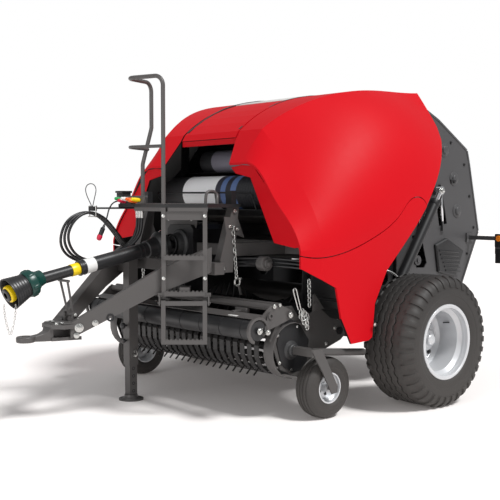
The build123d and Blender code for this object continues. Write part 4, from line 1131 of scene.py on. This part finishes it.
def column_details():
    """Pipes, hand hoop and side shaft behind the left column."""
    pipes = []
    for z in (0.96, 0.938, 0.916):
        run = [at(0.42, -1.05, z), at(0.6, -0.98, z + 0.01), at(0.84, -0.86, z), at(0.98, -0.8, z - 0.02)]
        pipes.append(wire(run, 0.008))
    made(pipes, "side_pipes", BLACK)
    hoop = [
        (-1.285, 1.288), (-1.285, 1.35), (-1.272, 1.382), (-1.24, 1.388), (-1.208, 1.382), (-1.195, 1.35),
        (-1.195, 1.288),
    ]
    made(wire([at(0.45, y, z) for y, z in hoop], 0.009, sides=6), "hand_hoop", GREY)
    knee = [
        bar(at(0.64, -1.0, 0.94), at(0.7, -1.0, 0.94), 0.046, 32, 0.004),
        bar(at(0.69, -1.0, 0.94), at(0.716, -1.0, 0.94), 0.03, 32, 0.003), bolt(at(0.716, -1.0, 0.94), 0.016),
    ]
    made(knee, "side_shaft_end", GREY)


def gearbox_details():
    """Ribs, flange and input guard of the gearbox."""
    ribs = [
        block(at(x - 0.004, -1.08, 1.168), at(x + 0.004, -0.9, 1.182), 0.002)
        for x in (-0.1, -0.05, 0, 0.05, 0.1)
    ]
    for turn in turns(6):
        out = Vector((0.082 * math.cos(turn + 0.3), 0, 0.082 * math.sin(turn + 0.3)))
        ribs.append(bolt(GEARBOX_FACE + out, 0.01, (0, -1, 0)))
    flange = lathe([
        (0.0, 0.1), (0.014, 0.098), (0.02, 0.078), (0.042, 0.072), (0.056, 0.066), (0.062, 0.061),
    ], GEARBOX_FACE, (0, -1, 0), 48, 0.0015)
    drain = bolt(at(0.09, -1.142, 0.955), 0.014, (0, -1, 0))
    made(ribs + [flange, drain], "gearbox_flange", CAST)
    shell = lathe([
        (0.0, 0.064), (0.006, 0.068), (0.02, 0.071), (0.024, 0.068), (0.006, 0.062),
    ], at(0, -1.202, 1.041), (0, -1, 0), 40, 0.001)
    made(shell, "input_guard", PLASTIC)


# Tailgate and back

BEARING = [(0.0, 0.052), (0.005, 0.05), (0.008, 0.034), (0.018, 0.031), (0.022, 0.024), (0.022, 0.001)]


def on_ring(x, degrees):
    """A place on the ring of the chamber's rollers."""
    turn = math.radians(degrees)
    return at(x, CHAMBER_Y + ROLLER_RING * math.cos(turn), CHAMBER_Z + ROLLER_RING * math.sin(turn))


def bearings(x, angles):
    """Bearing housings at those places on the ring."""
    return [lathe(BEARING, on_ring(x, degrees), steps=32, edge=0.001) for degrees in angles]


def gate_rim():
    """Raised rim along the edge of the tailgate's side sheets."""
    seams = [
        (0.3, 2.0), (0.54, 2.0), (0.745, 1.911), (1.096, 1.704), (1.124, 1.615), (1.251, 1.092),
        (1.217, 1.028), (1.05, 0.709), (0.846, 0.528), (0.48, 0.44), (0.3, 0.44),
    ]
    rim = []
    for (y0, z0), (y1, z1) in zip(seams, seams[1:]):
        way = Vector((y1 - y0, z1 - z0)).normalized() * 0.5
        nx, nz = way.y * 0.032, -way.x * 0.032
        rim.append(side([(y0, z0), (y1, z1), (y1 - nx, z1 - nz), (y0 - nx, z0 - nz)], GATE_X, 0.004, 0.0015))
    pair(rim, "gate_rims", GATE, "gate")


def gate_bolts():
    """Bolts along the rim and round the rollers, and the rollers' bearings."""
    heads = []
    for y, z in (
            (0.33, 1.94), (0.33, 1.7), (0.33, 1.3), (0.33, 0.62), (0.62, 1.9), (0.9, 1.76), (1.07, 1.6),
            (1.14, 1.36), (1.2, 1.12), (1.12, 0.92), (0.98, 0.7), (0.8, 0.56), (0.6, 0.5),
    ):
        heads.append(bolt(at(GATE_X, y, z), 0.009))
    for degrees in (-80, -60, 0, 20):
        for turn in turns(3):
            out = Vector((0, 0.034 * math.cos(turn + 0.5), 0.034 * math.sin(turn + 0.5)))
            heads.append(bolt(on_ring(GATE_X, degrees) + out, 0.0065))
    pair(heads, "gate_bolts", BOLT, "gate")
    pair(bearings(GATE_X, (-80, -60, 0, 20, 40, 60)), "roller_bearings", GATE, "gate")


def gate_cover():
    """Six ribs that grow shorter down the cover, and the lock rod above it."""
    ribs = []
    face = GATE_X + 0.022
    for k in range(6):
        share = k / 5
        y0, z0 = 0.745 + 0.078 * share, 0.965 - 0.15 * share
        ribs.append(side([
            (y0, z0), (y0 + 0.235 - 0.05 * share, z0 - 0.02), (y0 + 0.235 - 0.05 * share, z0 - 0.034),
            (y0, z0 - 0.014),
        ], face - 0.001, 0.006, 0.0015))
    pair(ribs, "cover_ribs", PLASTIC, "gate")
    rod = bar(at(GATE_X + 0.007, 0.795, 1.175), at(GATE_X + 0.007, 0.78, 1.37), 0.0115, 24)
    pair(rod, "lock_rods", CHROME, "gate")


def gate_latch():
    """Latch plate with its pin and its rod."""
    catch = [
        side([
            (0.462, 1.3), (0.556, 1.296), (0.56, 1.33), (0.528, 1.352), (0.524, 1.404), (0.47, 1.404),
        ], GATE_X, 0.014, 0.003),
        bar(at(GATE_X + 0.014, 0.5, 1.38), at(GATE_X + 0.03, 0.5, 1.38), 0.016, 24, 0.003),
        bolt(at(GATE_X + 0.03, 0.5, 1.38), 0.01),
    ]
    pair(catch, "gate_latches", GREY, "gate")
    bars = [
        bar(at(GATE_X + 0.007, 0.53, 1.3), at(GATE_X + 0.007, 0.536, 1.09), 0.008, 20),
        side([(0.516, 1.1), (0.556, 1.104), (0.56, 1.07), (0.52, 1.064)], GATE_X, 0.012, 0.002),
    ]
    pair(bars, "latch_rods", ZINC, "gate")


def back_details():
    """Beads, posts and the blank number plate on the tailgate's sheet, with the plate's guard."""
    beads = [
        bar(at(-0.6, y, z), at(0.6, y, z), 0.012, 16, 0.003)
        for y, z in ((0.93, 1.818), (1.195, 1.39), (1.158, 0.865))
    ]
    made(beads, "sheet_beads", GATE, "gate")
    posts = []
    for x in (-0.42, 0.42):
        posts.append(plate([
            at(x - 0.03, 1.122, 1.64), at(x + 0.03, 1.122, 1.64), at(x + 0.03, 1.262, 1.096),
            at(x - 0.03, 1.262, 1.096),
        ], Vector((0, 0.014, 0.0035)), 0.003))
    made(posts, "back_posts", GATE, "gate")
    number_plate = block(at(-0.26, 1.268, 1.09), at(0.26, 1.274, 1.202), 0.002)
    made(number_plate, "blank_number_plate", LABEL, "gate")
    holder = [
        block(at(-0.275, 1.262, 1.078), at(0.275, 1.269, 1.214), 0.003),
        block(at(-0.06, 1.262, 1.214), at(0.06, 1.292, 1.24), 0.006),
    ]
    made(holder, "number_plate_holder", PLASTIC, "gate")
    guard = wire([
        at(-0.3, 1.245, 1.02), at(-0.28, 1.3, 0.99), at(-0.1, 1.31, 0.985), at(0.1, 1.31, 0.985),
        at(0.28, 1.3, 0.99), at(0.3, 1.245, 1.02),
    ], 0.013)
    made(guard, "plate_guard", GREY, "gate")


def lamp_details():
    """Rear lamps on their arms, with a marker plate below and a small lamp in front."""
    red = block(at(0.912, 1.124, 0.988), at(0.978, 1.156, 1.03), 0.006)
    amber = block(at(0.912, 1.124, 1.034), at(0.978, 1.156, 1.072), 0.006)
    pair(red, "brake_lamps", LAMP_RED, "gate")
    pair(amber, "turn_lamps", AMBER, "gate")
    pair(block(at(0.906, 1.108, 0.98), at(0.984, 1.127, 1.08), 0.006), "lamp_housings", PLASTIC, "gate")
    pair(block(at(0.908, 1.116, 0.86), at(0.982, 1.124, 0.968), 0.003), "marker_plates", PLASTIC, "gate")
    pair(bar(at(0.945, 1.096, 1.046), at(0.945, 1.11, 1.046), 0.022, 24, 0.003), "side_lamps", AMBER, "gate")


def ram_details():
    """Gland, nuts and pipe of the tailgate's ram."""
    way = Vector((0, 0.55, 0.78)).normalized()
    foot = at(0.712, 0.15, 0.62)
    port = foot + way * 0.13
    gland = [
        lathe([
            (0.825, 0.038), (0.825, 0.0405), (0.862, 0.0405), (0.866, 0.036), (0.866, 0.0205),
        ], foot, way, 36, 0.001),
        lathe([(0.045, 0.036), (0.045, 0.04), (0.066, 0.04), (0.07, 0.038)], foot, way, 36, 0.001),
        bar(port + Vector((0.03, 0, 0)), port + Vector((0.058, 0, 0)), 0.012, 20),
        bolt(port + Vector((0.052, 0, 0)), 0.012, washer=False),
    ]
    pair(gland, "ram_glands", BLACK, "barrels")
    pair(bolt(at(0.738, 0.15, 0.62), 0.015), "ram_pin_nuts", ZINC)
    pair(bolt(at(0.73, 0.7, 1.4), 0.017), "ram_head_nuts", ZINC, "rods")
    pipe = wire([
        port + Vector((0.052, 0, 0.002)), at(0.775, 0.19, 0.77), at(0.76, 0.11, 0.84), at(0.7, 0.02, 0.86),
        at(0.64, -0.06, 0.86),
    ], 0.0085)
    pair(pipe, "ram_pipes", ZINC)


def wall_details():
    """Bearings, chain case and bolts on the walls, behind the doors."""
    pair(bearings(WALL_X, (100, 120, 140, 160, 180, 200, 240, 260)), "wall_bearings", CAST)
    case = side([
        (-0.58, 0.62), (-0.56, 1.02), (-0.36, 1.1), (-0.24, 0.98), (-0.26, 0.6),
    ], WALL_X + 0.002, 0.03, 0.008)
    pair(case, "chain_cases", BLACK)
    heads = [bolt(at(WALL_X, y, 0.52), 0.01) for y in (-0.3, -0.05)]
    pair(heads, "wall_bolts", ZINC)


def fender_details():
    """Bolts through the fender."""
    spots = [(1.118, -0.3, 1.112), (1.121, -0.48, 0.56)]
    heads = [bolt(at(*spot), 0.01, (1, 0, 0.1)) for spot in spots]
    pair(heads, "fender_bolts", ZINC)


def net_details():
    """Cores and edge turns of the net roll, end of the spare roll, and the rail before them."""
    y, z = -0.7, 1.38
    ends = [
        lathe([
            (0.0, 0.02), (0.0, 0.045), (0.006, 0.044), (0.01, 0.02),
        ], at(s * 0.616, y, z), (s, 0, 0), 32, 0.001)
        for s in (1, -1)
    ]
    made(ends, "roll_cores", BLACK, "net")
    rings = [
        lathe(band(x, x + 0.006, 0.118, 0.1192), at(0, y, z), steps=64)
        for x in [0.2 + 0.026 * k for k in range(15)]
    ]
    made(rings, "roll_edge_turns", PLASTIC, "net")
    cap = lathe([
        (0.0, 0.076), (-0.006, 0.072), (-0.006, 0.03), (-0.002, 0.028), (-0.002, 0.001),
    ], at(-0.4, -0.58, 1.6063), steps=48)
    made(cap, "spare_roll_end", PALE_AND_HIGHLIGHT)
    rail = [
        at(-0.632, -0.76, 1.29), at(-0.632, -0.85, 1.335), at(-0.625, -0.872, 1.384),
        at(-0.56, -0.872, 1.384), at(0.34, -0.872, 1.38), at(0.4, -0.872, 1.379), at(0.41, -0.856, 1.33),
        at(0.41, -0.832, 1.272),
    ]
    made(wire(rail, 0.006, sides=5), "net_guard_rail", BLACK)


COATS = {
    "hood door_left door_right fender_left fender_right": RED,
    "drawbar front_frame ladder ladder_step handrail windguard jack_sleeve hitch jack_leg pto_rest": GREY,
    # The deck is black partly for its black holder and partly as painted shade on its front
    "deck axle chamber_walls gearbox feed_pan feed_rotor ram_barrels hose_stand net_cradle": BLACK,
    "crop_roller pto_outer pto_inner gate_covers": PLASTIC, "front_rollers rear_rollers reel": DARK_STEEL,
    "tyre_left tyre_right gauge_tyre_left gauge_tyre_right": RUBBER,
    "rim_left rim_right gauge_rim_left gauge_rim_right": SILVER, "tailgate": GATE, "pickup_frame": BANDS,
    "ram_rods": CHROME, "pto_cross": STEEL, "net_roll": NET, "spare_roll": SPARE, "lamps": LAMP_RED,
}
for names, coat in COATS.items():
    for name in names.split():
        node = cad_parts[name]
        if not node.material_slots:
            node.data.materials.append(coat)
        for slot in node.material_slots:
            slot.material = coat

photo_camera()
for build in (
        hoses, lamp_cable, wheels, rear_guards, front_guards, front_yoke, shaft_marks, shaft_chain, covers,
        tray, hose_clamp, lift_chain, guard_chains, guard_details, guard_front, pickup_details, end_shields,
        tine_coils, tongue, drawbar_details, jack_details, ladder_details, deck_details, deck_surface,
        column_details, gearbox_details, gate_rim, gate_bolts, gate_cover, gate_latch, back_details,
        lamp_details, ram_details, wall_details, fender_details, net_details, studio, ground,
):
    build()
